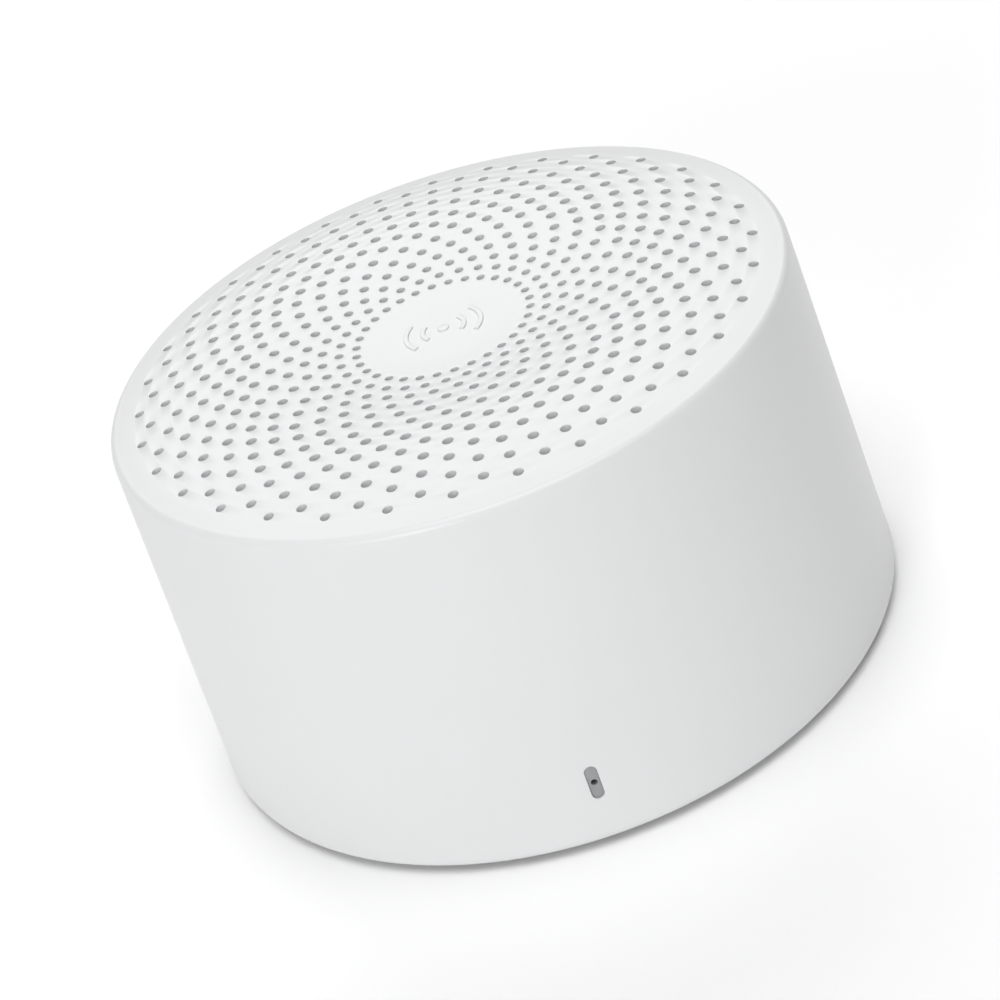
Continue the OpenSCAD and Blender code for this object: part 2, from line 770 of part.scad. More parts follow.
module board_screws() {
    color("gray") at_board_posts() translate([0, 0, board_z1]) rotate([180, 0, 0])
        screw(small_screw_d, board_t + board_lift - 0.6, 2.8, 0.8);
}

module radio_can() { color("silver") block([11, 11, 1.5], [-5.5, -9, board_z1]); }
module sound_chip() { color("black") block([5.5, 5.5, 0.9], [6, -10, board_z1]); }
module charger_chip() { color("black") block([4, 4, 0.8], [6, 10, board_z1]); }
module crystal() { color("lightgray") block([3.2, 2.5, 0.8], [-4.5, 1, board_z1]); }

module inductors() {
    color("darkslategray") for (x = [4.5, 10]) translate([x, -2.5, board_z1]) {
        translate([-2, -2, 0]) cube([4, 4, 1.2]);
        cylinder(r = 1.5, h = 1.5);
    }
}

module capacitors() {
    places = [
        [-10, 6], [-7, 6], [-4, 6], [1, 6], [1, 9], [1, 12], [10.5, 9], [10.5, 12], [1.8, -6],
    ];
    color("tan") for (p = places) block([1.6, 0.9, 0.9], [p[0], p[1], board_z1]);
}

module antenna() {
    color("gold") rotate(190) rotate_extrude(angle = 30) polygon([
        [board_r - 3, board_z1], [board_r - 1.4, board_z1], [board_r - 1.4, board_z1 + 2.8],
        [board_r - 1.8, board_z1 + 2.8], [board_r - 1.8, board_z1 + 0.4], [board_r - 3, board_z1 + 0.4],
    ]);
}

module status_led() {
    color("white") block([1.6, 0.8, 0.7], [0, -window_y + 4.2, board_z1]);
}

mic_y = -window_y + 7.8;
module microphone() {
    color("silver") translate([0, mic_y, 0]) difference() {
        disc(mic_d / 2, board_z1, board_z1 + 1.3);
        disc(0.4, board_z1 + 1, board_z1 + 2);
    }
}

module microphone_boot() {
    color("black") translate([0, mic_y, 0]) ring(mic_d / 2 + 0.5, mic_d / 2, board_z1, board_z1 + 0.9);
}

// ---- charging socket ----

module usb_outline(grow) {
    w = usb_w + 2 * grow;
    h = usb_h + 2 * grow;
    polygon([
        [-w / 2, h / 2 - 0.4], [-w / 2 + 0.4, h / 2], [w / 2 - 0.4, h / 2], [w / 2, h / 2 - 0.4],
        [w / 2, -h / 2 + 1], [w / 2 - 0.8, -h / 2],
        [-w / 2 + 0.8, -h / 2], [-w / 2, -h / 2 + 1],
    ]);
}

// Folded steel shell, closed at the back, with two feet on the board
module usb_shell() {
    color("silver") translate([0, mouth_y, usb_z]) rotate([90, 0, 0]) difference() {
        union() {
            linear_extrude(usb_l) usb_outline(0);
            for (s = [-1, 1]) translate([s * (usb_w / 2 - 0.4) - 0.9, -usb_h / 2, usb_l - 2.6])
                cube([1.8, 0.3, 1.6]);
        }
        translate([0, 0, -1]) linear_extrude(usb_l + 0.7) usb_outline(-0.3);
    }
}

module usb_tongue() {
    color("black") {
        block([usb_w - 2.2, 1, usb_h - 0.9], [0, usb_back_y + 0.8, usb_z - usb_h / 2 + 0.3]);
        block([usb_w - 3.4, usb_l - 1.6, 0.6], [0, usb_back_y + 0.3 + (usb_l - 1.6) / 2, usb_z - 0.1]);
    }
}

housing();
dust_cloth();
light_guide();
base_plate();
foot_ring();
base_screws();
frame_gasket();
baffle();
rear_chamber();
chamber_foam();
basket();
surround();
spider();
cone();
dust_cap();
coil_former();
voice_coil();
pole_plate();
magnet();
yoke();
terminal_strip();
tinsel_leads();
driver_screws();
speaker_leads();
lead_grommet();
speaker_plug();
speaker_header();
battery_cell();
battery_tape();
battery_guard();
battery_lead_plus();
battery_lead_minus();
battery_plug();
battery_header();
main_board();
board_screws();
radio_can();
sound_chip();
charger_chip();
crystal();
inductors();
capacitors();
antenna();
status_led();
usb_shell();
usb_tongue();
microphone();
microphone_boot();
switch_body();
switch_plunger();
power_button();
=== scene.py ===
"""Palm-size smart speaker: the visual model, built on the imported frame, with its studio."""

import json
import logging
from dataclasses import dataclass, field
from enum import Enum
from math import atan2, cos, degrees, floor, hypot, pi, radians, sin, tan

import bmesh
import bpy
from mathutils import Matrix, Vector


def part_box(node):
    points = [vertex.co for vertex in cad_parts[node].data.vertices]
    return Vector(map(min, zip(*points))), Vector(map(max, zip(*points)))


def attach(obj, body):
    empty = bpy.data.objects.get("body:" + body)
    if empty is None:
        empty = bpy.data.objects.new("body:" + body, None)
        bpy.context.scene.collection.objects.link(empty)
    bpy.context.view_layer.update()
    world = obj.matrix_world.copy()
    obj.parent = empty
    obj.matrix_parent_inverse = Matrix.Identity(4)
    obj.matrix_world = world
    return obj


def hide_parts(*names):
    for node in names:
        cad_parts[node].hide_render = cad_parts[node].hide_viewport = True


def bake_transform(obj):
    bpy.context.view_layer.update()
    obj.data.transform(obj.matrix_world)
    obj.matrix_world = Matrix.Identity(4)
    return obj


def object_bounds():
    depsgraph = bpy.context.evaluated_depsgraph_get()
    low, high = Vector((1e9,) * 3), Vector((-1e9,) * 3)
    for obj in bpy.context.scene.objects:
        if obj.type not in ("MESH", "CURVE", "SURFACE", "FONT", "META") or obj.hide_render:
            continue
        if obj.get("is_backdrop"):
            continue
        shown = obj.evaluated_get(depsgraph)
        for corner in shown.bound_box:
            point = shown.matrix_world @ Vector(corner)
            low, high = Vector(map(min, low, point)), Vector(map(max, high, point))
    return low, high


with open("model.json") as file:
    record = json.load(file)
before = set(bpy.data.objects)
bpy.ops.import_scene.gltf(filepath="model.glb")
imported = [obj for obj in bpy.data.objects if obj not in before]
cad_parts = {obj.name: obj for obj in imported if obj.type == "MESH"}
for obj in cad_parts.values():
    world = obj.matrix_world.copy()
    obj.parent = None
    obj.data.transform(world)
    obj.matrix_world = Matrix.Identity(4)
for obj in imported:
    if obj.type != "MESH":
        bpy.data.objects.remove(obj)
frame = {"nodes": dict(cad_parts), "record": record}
CAD_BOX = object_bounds()

MM = 0.001
WELD = 1e-7  # points closer than this are one
NEAR = 1e-6  # slack when a height is compared or a rim is welded
CLEAR = 1e-5  # a vertex this far above the ceiling is on the top face
CORNER = radians(40)  # edges sharper than this are rounded
CELL_REACH = 2  # half a hole's square opening, in steps of its cell
AROUND_Z = (0.0, 0.0, 1.0)
ORIGIN = (0.0, 0.0, 0.0)
Outline = list[tuple[float, float]]
Colour = tuple[float, float, float]
Mesh = bmesh.types.BMesh
Tree = bpy.types.NodeTree
Node = bpy.types.Node
Pin = bpy.types.NodeSocket
Thing = bpy.types.Object
Vert = bmesh.types.BMVert
Edge = bmesh.types.BMEdge
Face = bmesh.types.BMFace

logging.basicConfig(level=logging.INFO, format="%(message)s")
log = logging.getLogger("speaker")


# ---------------------------------------------------------------- node helpers


class Pattern(Enum):
    """Surface pattern that a finish carries."""

    MOULDED = "Moulded Grain"
    WOVEN = "Woven Cloth"
    BRUSHED = "Brushed Grain"
    CELLULAR = "Cellular Foam"
    WOUND = "Wound Wire"
    PULP = "Pressed Pulp"


@dataclass(frozen=True)
class Socket:
    """One input of a pattern group."""

    name: str
    default: float


def new_group(
    name: str, inputs: tuple[Socket, ...],
) -> tuple[Tree, Node, Node]:
    """Starts a shader group with float inputs and the outputs Height and Tone.

    Args:
        name: Name of the group.
        inputs: Its inputs, which follow the Vector input.

    Returns:
        The tree, its input node and its output node.
    """
    tree = bpy.data.node_groups.new(name, "ShaderNodeTree")
    tree.interface.new_socket("Vector", in_out="INPUT", socket_type="NodeSocketVector")
    for item in inputs:
        made = tree.interface.new_socket(item.name, in_out="INPUT", socket_type="NodeSocketFloat")
        made.default_value = item.default
    for output in ("Height", "Tone"):
        tree.interface.new_socket(output, in_out="OUTPUT", socket_type="NodeSocketFloat")
    return tree, tree.nodes.new("NodeGroupInput"), tree.nodes.new("NodeGroupOutput")


def maths(tree: Tree, operation: str, *values: object) -> Pin:
    """Adds a Math node.

    Args:
        tree: Tree that gets the node.
        operation: The node's operation.
        values: Numbers or sockets for its inputs.

    Returns:
        The node's output socket.
    """
    node = tree.nodes.new("ShaderNodeMath")
    node.operation = operation
    for slot, value in zip(node.inputs, values):
        if isinstance(value, Pin):
            tree.links.new(value, slot)
        else:
            slot.default_value = value
    return node.outputs[0]


def noise(
    tree: Tree, vector: Pin, scale: object, detail: float = 2.0,
) -> Pin:
    """Adds a noise texture.

    Args:
        tree: Tree that gets the node.
        vector: Where the noise is read.
        scale: Number or socket for the scale.
        detail: Octaves of detail.

    Returns:
        The factor, from 0 to 1.
    """
    node = tree.nodes.new("ShaderNodeTexNoise")
    node.inputs["Detail"].default_value = detail
    tree.links.new(vector, node.inputs["Vector"])
    if isinstance(scale, Pin):
        tree.links.new(scale, node.inputs["Scale"])
    else:
        node.inputs["Scale"].default_value = scale
    return node.outputs["Fac"]


class PatternLibrary:
    """Builds each shared pattern group once and hands it out."""

    def __init__(self) -> None:
        """Starts with no groups built."""
        self._groups: dict[Pattern, Tree] = {}

    def get(self, pattern: Pattern) -> Tree:
        """Returns the group of a pattern, building it the first time."""
        if pattern not in self._groups:
            build = {
                Pattern.MOULDED: self._moulded,
                Pattern.WOVEN: self._woven,
                Pattern.BRUSHED: self._brushed,
                Pattern.CELLULAR: self._cellular,
                Pattern.WOUND: self._wound,
                Pattern.PULP: self._pulp,
            }[pattern]
            self._groups[pattern] = build()
        return self._groups[pattern]

    def _moulded(self) -> Tree:
        """Spark-eroded mould grain: fine pits with a slow drift of tone."""
        tree, given, out = new_group(Pattern.MOULDED.value, (Socket("Scale", 9000.0),))
        fine = noise(tree, given.outputs["Vector"], given.outputs["Scale"], 3.0)
        coarse = noise(tree, given.outputs["Vector"], maths(tree, "MULTIPLY", given.outputs["Scale"], 0.35))
        slow = noise(tree, given.outputs["Vector"], maths(tree, "MULTIPLY", given.outputs["Scale"], 0.008))
        pits, swell = maths(tree, "MULTIPLY", fine, 0.6), maths(tree, "MULTIPLY", coarse, 0.4)
        height = maths(tree, "ADD", pits, swell)
        tree.links.new(height, out.inputs["Height"])
        tree.links.new(slow, out.inputs["Tone"])
        return tree

    def _woven(self) -> Tree:
        """Plain weave: two sets of crossing threads."""
        tree, given, out = new_group(Pattern.WOVEN.value, (Socket("Scale", 4000.0),))
        split = tree.nodes.new("ShaderNodeSeparateXYZ")
        tree.links.new(given.outputs["Vector"], split.inputs[0])
        across = maths(tree, "SINE", maths(tree, "MULTIPLY", split.outputs["X"], given.outputs["Scale"]))
        along = maths(tree, "SINE", maths(tree, "MULTIPLY", split.outputs["Y"], given.outputs["Scale"]))
        height = maths(tree, "MULTIPLY", across, along)
        tree.links.new(maths(tree, "MULTIPLY_ADD", height, 0.5, 0.5), out.inputs["Height"])
        tree.links.new(maths(tree, "ABSOLUTE", height), out.inputs["Tone"])
        return tree

    def _brushed(self) -> Tree:
        """Rolled or brushed metal: streaks drawn out along X."""
        tree, given, out = new_group(Pattern.BRUSHED.value, (Socket("Scale", 3000.0),))
        stretch = tree.nodes.new("ShaderNodeMapping")
        stretch.inputs["Scale"].default_value = (0.04, 1.0, 1.0)
        tree.links.new(given.outputs["Vector"], stretch.inputs["Vector"])
        streaks = noise(tree, stretch.outputs["Vector"], given.outputs["Scale"], 3.0)
        tree.links.new(streaks, out.inputs["Height"])
        tree.links.new(noise(tree, given.outputs["Vector"], 160.0), out.inputs["Tone"])
        return tree

    def _cellular(self) -> Tree:
        """Open or closed foam cells."""
        tree, given, out = new_group(Pattern.CELLULAR.value, (Socket("Scale", 2500.0),))
        cells = tree.nodes.new("ShaderNodeTexVoronoi")
        tree.links.new(given.outputs["Vector"], cells.inputs["Vector"])
        tree.links.new(given.outputs["Scale"], cells.inputs["Scale"])
        tree.links.new(cells.outputs["Distance"], out.inputs["Height"])
        tree.links.new(cells.outputs["Distance"], out.inputs["Tone"])
        return tree

    def _wound(self) -> Tree:
        """Turns of wire, one above the other along Z."""
        tree, given, out = new_group(Pattern.WOUND.value, (Socket("Scale", 40000.0),))
        split = tree.nodes.new("ShaderNodeSeparateXYZ")
        tree.links.new(given.outputs["Vector"], split.inputs[0])
        turns = maths(tree, "SINE", maths(tree, "MULTIPLY", split.outputs["Z"], given.outputs["Scale"]))
        tree.links.new(maths(tree, "MULTIPLY_ADD", turns, 0.5, 0.5), out.inputs["Height"])
        tree.links.new(noise(tree, given.outputs["Vector"], 900.0), out.inputs["Tone"])
        return tree

    def _pulp(self) -> Tree:
        """Felted fibres of pressed pulp or board."""
        tree, given, out = new_group(Pattern.PULP.value, (Socket("Scale", 2600.0),))
        fibres = noise(tree, given.outputs["Vector"], given.outputs["Scale"], 6.0)
        tree.links.new(fibres, out.inputs["Height"])
        tree.links.new(noise(tree, given.outputs["Vector"], 700.0, 4.0), out.inputs["Tone"])
        return tree


PATTERNS = PatternLibrary()


# ---------------------------------------------------------------- finishes


@dataclass(frozen=True)
class Finish:
    """A material's look: its colour, gloss and pattern."""

    slot: str
    colour: Colour
    shade: Colour
    roughness: float
    pattern: Pattern = Pattern.MOULDED
    scale: float = 9000.0
    relief: float = 0.02
    spread: float = 0.06
    metallic: float = 0.0
    coat: float = 0.0
    coat_roughness: float = 0.2
    specular: float = 0.5
    sheen: float = 0.0

    def material(self) -> bpy.types.Material:
        """Returns this finish's material, building it the first time."""
        name = f"{self.slot}_finish"
        if name in bpy.data.materials:
            return bpy.data.materials[name]
        made = bpy.data.materials.new(name)
        made.use_nodes = True
        tree = made.node_tree
        shader = tree.nodes["Principled BSDF"]
        where = tree.nodes.new("ShaderNodeTexCoord")
        group = tree.nodes.new("ShaderNodeGroup")
        group.node_tree = PATTERNS.get(self.pattern)
        group.inputs["Scale"].default_value = self.scale
        tree.links.new(where.outputs["Object"], group.inputs["Vector"])
        self._colour(tree, shader, group)
        self._gloss(tree, shader, group)
        self._relief(tree, shader, group)
        shader.inputs["Metallic"].default_value = self.metallic
        shader.inputs["Specular IOR Level"].default_value = self.specular
        shader.inputs["Coat Weight"].default_value = self.coat
        shader.inputs["Coat Roughness"].default_value = self.coat_roughness
        shader.inputs["Sheen Weight"].default_value = self.sheen
        return made

    def _colour(self, tree: Tree, shader: Node, group: Node) -> None:
        """Lets the colour drift between the two tones."""
        mix = tree.nodes.new("ShaderNodeMix")
        mix.data_type = "RGBA"
        mix.inputs["A"].default_value = (*self.shade, 1.0)
        mix.inputs["B"].default_value = (*self.colour, 1.0)
        tree.links.new(group.outputs["Tone"], mix.inputs["Factor"])
        tree.links.new(mix.outputs["Result"], shader.inputs["Base Color"])

    def _gloss(self, tree: Tree, shader: Node, group: Node) -> None:
        """Spreads the roughness a little either side of its middle value."""
        low = self.roughness - self.spread / 2
        value = maths(tree, "MULTIPLY_ADD", group.outputs["Height"], self.spread, low)
        tree.links.new(value, shader.inputs["Roughness"])

    def _relief(self, tree: Tree, shader: Node, group: Node) -> None:
        """Turns the pattern's height into a bump of the finish's relief, in millimetres."""
        bump = tree.nodes.new("ShaderNodeBump")
        bump.inputs["Strength"].default_value = 1.0
        bump.inputs["Distance"].default_value = self.relief * MM
        tree.links.new(group.outputs["Height"], bump.inputs["Height"])
        tree.links.new(bump.outputs["Normal"], shader.inputs["Normal"])


def grey(value: float, warmth: float = 0.0) -> Colour:
    """Returns a linear grey, cooler for a negative warmth and warmer for a positive one."""
    return (value * (1 + warmth), value, value * (1 - warmth))


def metal(
    slot: str, colour: Colour, shade: Colour, roughness: float, scale: float, relief: float,
) -> Finish:
    """Returns the finish of a bare, brushed metal."""
    return Finish(slot, colour, shade, roughness, Pattern.BRUSHED, scale, relief, metallic=1.0)


FINISHES = {
    made.slot: made
    for made in (
        Finish(
            "white_plastic", grey(0.79, -0.006), grey(0.77, -0.006), 0.34, relief=0.004, spread=0.05,
        ),
        Finish("dark_cloth", grey(0.05), grey(0.02), 0.85, Pattern.WOVEN, 20000, 0.03, sheen=0.2),
        Finish("lens", grey(0.34, -0.02), grey(0.31, -0.02), 0.35, scale=4000, relief=0.002),
        Finish("foot_rubber", grey(0.5), grey(0.44), 0.75, scale=5000, relief=0.012),
        metal("zinc_steel", grey(0.55, -0.02), grey(0.42, -0.02), 0.32, 4000, 0.004),
        Finish("black_foam", grey(0.018), grey(0.008), 0.9, Pattern.CELLULAR, 3500, 0.05),
        Finish("dark_plastic", grey(0.022), grey(0.016), 0.5, scale=5000, relief=0.01),
        Finish("grey_foam", grey(0.05, -0.02), grey(0.02, -0.02), 0.95, Pattern.CELLULAR, 1600, 0.12),
        Finish("grey_plastic", grey(0.09), grey(0.07), 0.48, scale=4000, relief=0.01),
        Finish("black_rubber", grey(0.012), grey(0.008), 0.55, scale=3000, relief=0.006),
        Finish("spider_cloth", (0.5, 0.3, 0.06), (0.34, 0.19, 0.04), 0.7, Pattern.WOVEN, 14000, 0.02),
        Finish("black_paper", grey(0.02), grey(0.01), 0.7, Pattern.PULP, 2600, 0.02),
        Finish(
            "former_film", (0.42, 0.2, 0.04), (0.36, 0.16, 0.03), 0.25, scale=2000, relief=0.002, coat=0.4,
        ),
        Finish(
            "copper_wire", (0.62, 0.24, 0.08), (0.5, 0.17, 0.05), 0.28,
            Pattern.WOUND, 42000, 0.03, metallic=1.0,
        ),
        metal("plated_steel", grey(0.5), grey(0.42), 0.34, 3000, 0.003),
        metal("magnet_nickel", grey(0.56, 0.02), grey(0.48, 0.02), 0.22, 2500, 0.003),
        Finish("tan_board", (0.3, 0.15, 0.05), (0.24, 0.11, 0.035), 0.7, Pattern.PULP, 2600, 0.01),
        Finish(
            "braid", (0.6, 0.26, 0.1), (0.4, 0.15, 0.05), 0.4, Pattern.WOVEN, 30000, 0.03, metallic=1.0,
        ),
        Finish("wire_black", grey(0.015), grey(0.01), 0.42, scale=2500, relief=0.004),
        Finish("wire_red", (0.5, 0.012, 0.01), (0.42, 0.01, 0.008), 0.42, scale=2500, relief=0.004),
        Finish("natural_nylon", (0.72, 0.68, 0.56), (0.66, 0.62, 0.5), 0.5, scale=5000, relief=0.006),
        Finish("pouch_foil", grey(0.6), grey(0.5), 0.3, Pattern.BRUSHED, 1800, 0.01, metallic=0.9),
        Finish("tape_white", grey(0.72), grey(0.66), 0.8, Pattern.PULP, 3000, 0.01),
        Finish(
            "board_green", (0.008, 0.09, 0.03), (0.005, 0.06, 0.02), 0.3,
            scale=1500, relief=0.004, coat=0.5,
        ),
        metal("tin_plate", grey(0.62), grey(0.55), 0.26, 2500, 0.003),
        Finish("chip_black", grey(0.012), grey(0.009), 0.55, scale=7000, relief=0.006),
        Finish("ferrite", grey(0.03), grey(0.018), 0.6, scale=4000, relief=0.02),
        Finish("ceramic_tan", (0.32, 0.2, 0.1), (0.26, 0.16, 0.08), 0.4, scale=5000, relief=0.004),
        metal("gold_plate", (0.85, 0.58, 0.2), (0.75, 0.5, 0.16), 0.22, 2500, 0.002),
        Finish(
            "led_white", (0.85, 0.8, 0.6), (0.8, 0.75, 0.5), 0.25, scale=3000, relief=0.003, coat=0.4,
        ),
    )
}


# ---------------------------------------------------------------- mesh helpers


def arc(centre: tuple[float, float], radius: float, start: float, end: float, steps: int) -> Outline:
    """Returns the points of an arc in an outline.

    Args:
        centre: Centre, as radius and height.
        radius: Radius of the arc.
        start: First angle, in degrees.
        end: Last angle, in degrees.
        steps: Number of segments.

    Returns:
        The points, from the first angle to the last.
    """
    turns = [radians(start + (end - start) * i / steps) for i in range(steps + 1)]
    return [(centre[0] + radius * cos(w), centre[1] + radius * sin(w)) for w in turns]


def spun(outline: Outline, steps: int, closed: bool = True) -> Mesh:
    """Spins an outline once round Z.

    Args:
        outline: Points as radius and height, in metres.
        steps: Number of steps in the turn.
        closed: Whether the last point joins the first.

    Returns:
        A bmesh with its doubles merged.
    """
    bm = bmesh.new()
    line = [bm.verts.new((r, 0.0, z)) for r, z in outline]
    pairs = list(zip(line, line[1:])) + ([(line[-1], line[0])] if closed else [])
    edges = [bm.edges.new(pair) for pair in pairs]
    bmesh.ops.spin(
        bm, geom=line + edges, cent=ORIGIN, axis=AROUND_Z, dvec=ORIGIN,
        angle=2 * pi, steps=steps, use_merge=True, use_duplicate=False,
    )
    bmesh.ops.remove_doubles(bm, verts=bm.verts, dist=WELD)
    return bm


def crisp(bm: Mesh, angle: float = 32.0) -> None:
    """Shades a mesh smooth, with sharp edges where faces meet at more than an angle in degrees."""
    for face in bm.faces:
        face.smooth = True
    for edge in bm.edges:
        edge.smooth = edge.is_manifold and edge.calc_face_angle(0.0) < radians(angle)


def made_object(bm: Mesh, name: str) -> Thing:
    """Returns a new linked object with the shape of a bmesh, which is freed."""
    mesh = bpy.data.meshes.new(name)
    bm.to_mesh(mesh)
    bm.free()
    made = bpy.data.objects.new(name, mesh)
    bpy.context.scene.collection.objects.link(made)
    return made


def eased(
    bm: Mesh, edges: list[Edge], width: float, segments: int = 2,
    clamp: bool = True,
) -> None:
    """Rounds edges.

    Args:
        bm: Mesh that holds the edges.
        edges: The edges.
        width: Width of the rounding.
        segments: Number of steps across it.
        clamp: Whether neighbouring roundings keep clear of each other.
    """
    bmesh.ops.bevel(
        bm, geom=edges, offset=width, segments=segments, profile=0.5,
        affect="EDGES", material=-1, clamp_overlap=clamp,
    )


def settle(
    bm: Mesh, name: str, finish: str, body: str = "case",
    stands_for: tuple[str, ...] = (), recalc: bool = True,
) -> Thing:
    """Makes a finished piece from a bmesh.

    Args:
        bm: The shape, which is freed.
        name: Name of the piece.
        finish: Its material slot.
        body: Body that it rides on, or an empty string for none.
        stands_for: CAD nodes that it replaces.
        recalc: Whether its normals are worked out again.

    Returns:
        The new object.
    """
    if recalc:
        bmesh.ops.recalc_face_normals(bm, faces=bm.faces)
    crisp(bm)
    piece = made_object(bm, name)
    piece.data.materials.append(FINISHES[finish].material())
    if stands_for:
        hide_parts(*stands_for)
    if body:
        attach(piece, body)
    log.info("%s: %d faces", name, len(piece.data.polygons))
    return piece


def refined(node: str, edge: float = 0.05, body: str = "case") -> Thing:
    """Copies a CAD node, merges it into clean faces and breaks its sharp edges.

    Args:
        node: Name of the CAD node.
        edge: Width of the broken edges, in millimetres, or 0.
        body: Body that the piece rides on, or an empty string.

    Returns:
        The piece, which replaces the node.
    """
    bm = bmesh.new()
    bm.from_mesh(frame["nodes"][node].data)
    bmesh.ops.remove_doubles(bm, verts=bm.verts, dist=WELD)
    bmesh.ops.dissolve_limit(bm, angle_limit=radians(0.8), verts=bm.verts, edges=bm.edges)
    if edge:
        corners = [e for e in bm.edges if e.is_manifold and e.calc_face_angle(0.0) > CORNER]
        eased(bm, corners, edge * MM)
    slots = {part["node"]: part["material_slot"] for part in frame["record"]["subparts"]}
    return settle(bm, f"{node}_piece", slots[node], body, (node,), recalc=False)


def pill(
    bm: Mesh, width: float, height: float, at: Vector, segments: int = 48,
) -> Face:
    """Adds an upright pill-shaped face that looks along Y.

    Args:
        bm: Mesh that gets the face.
        width: Its width along X.
        height: Its height along Z.
        at: Its centre.
        segments: Points in its outline.

    Returns:
        The face.
    """
    small, long = min(width, height), max(width, height)
    made = bmesh.ops.create_circle(bm, cap_ends=True, radius=small / 2, segments=segments)
    verts = made["verts"]
    bmesh.ops.rotate(bm, verts=verts, cent=ORIGIN, matrix=Matrix.Rotation(pi / segments, 3, "Z"))
    bmesh.ops.rotate(bm, verts=verts, cent=ORIGIN, matrix=Matrix.Rotation(pi / 2, 3, "X"))
    along = Vector((0, 0, 1)) if height >= width else Vector((1, 0, 0))
    for side in (-1, 1):
        end = [v for v in verts if v.co.dot(along) * side > 0]
        bmesh.ops.translate(bm, verts=end, vec=along * side * (long - small) / 2)
    bmesh.ops.translate(bm, verts=verts, vec=at)
    return verts[0].link_faces[0]


def drawn_out(bm: Mesh, face: Face, by: Vector) -> list[Vert]:
    """Extrudes a face and keeps the first one as the back of the solid.

    Args:
        bm: Mesh that holds the face.
        face: Face to extrude.
        by: How far.

    Returns:
        The vertices of the new end.
    """
    made = bmesh.ops.extrude_face_region(bm, geom=[face], use_keep_orig=True)
    verts = [item for item in made["geom"] if isinstance(item, Vert)]
    bmesh.ops.translate(bm, verts=verts, vec=by)
    return verts


# ---------------------------------------------------------------- housing


@dataclass(frozen=True)
class GrilleRings:
    """Rings of holes in the top face: evenly spaced at first, then in pairs."""

    holes: int = 32
    first_r: float = 7.25 * MM
    plain: int = 6
    pitch: float = 1.4 * MM
    pair_steps: int = 4
    pair_gap: float = 1.0 * MM
    crowding: float = 0.07
    last_r: float = 25.5 * MM
    first_d: float = 0.7 * MM
    most_d: float = 0.9 * MM
    ring_most: int = 9
    inner_margin: float = 0.7 * MM
    outer_margin: float = 0.5 * MM

    @property
    def count(self) -> int:
        """Number of rings."""
        return self.plain + 2 * (self.pair_steps + 1)

    def radius(self, ring: int) -> float:
        """Returns the radius of a ring."""
        if ring < self.plain:
            return self.first_r + ring * self.pitch
        start = self.first_r + self.plain * self.pitch
        share = ((ring - self.plain) // 2) / self.pair_steps
        span = self.last_r - self.pair_gap - start
        pair_r = start + span * share * (1 - self.crowding * (1 - share))
        return pair_r + (ring - self.plain) % 2 * self.pair_gap

    def hole_r(self, ring: int) -> float:
        """Returns the radius of the holes in a ring."""
        away = (ring - self.ring_most) / self.ring_most
        return (self.most_d - (self.most_d - self.first_d) * away * away) / 2

    def borders(self) -> list[float]:
        """Returns the radii that divide the rings from each other."""
        radii = [self.radius(k) for k in range(self.count)]
        between = [(a + b) / 2 for a, b in zip(radii, radii[1:])]
        return [radii[0] - self.inner_margin, *between, radii[-1] + self.outer_margin]


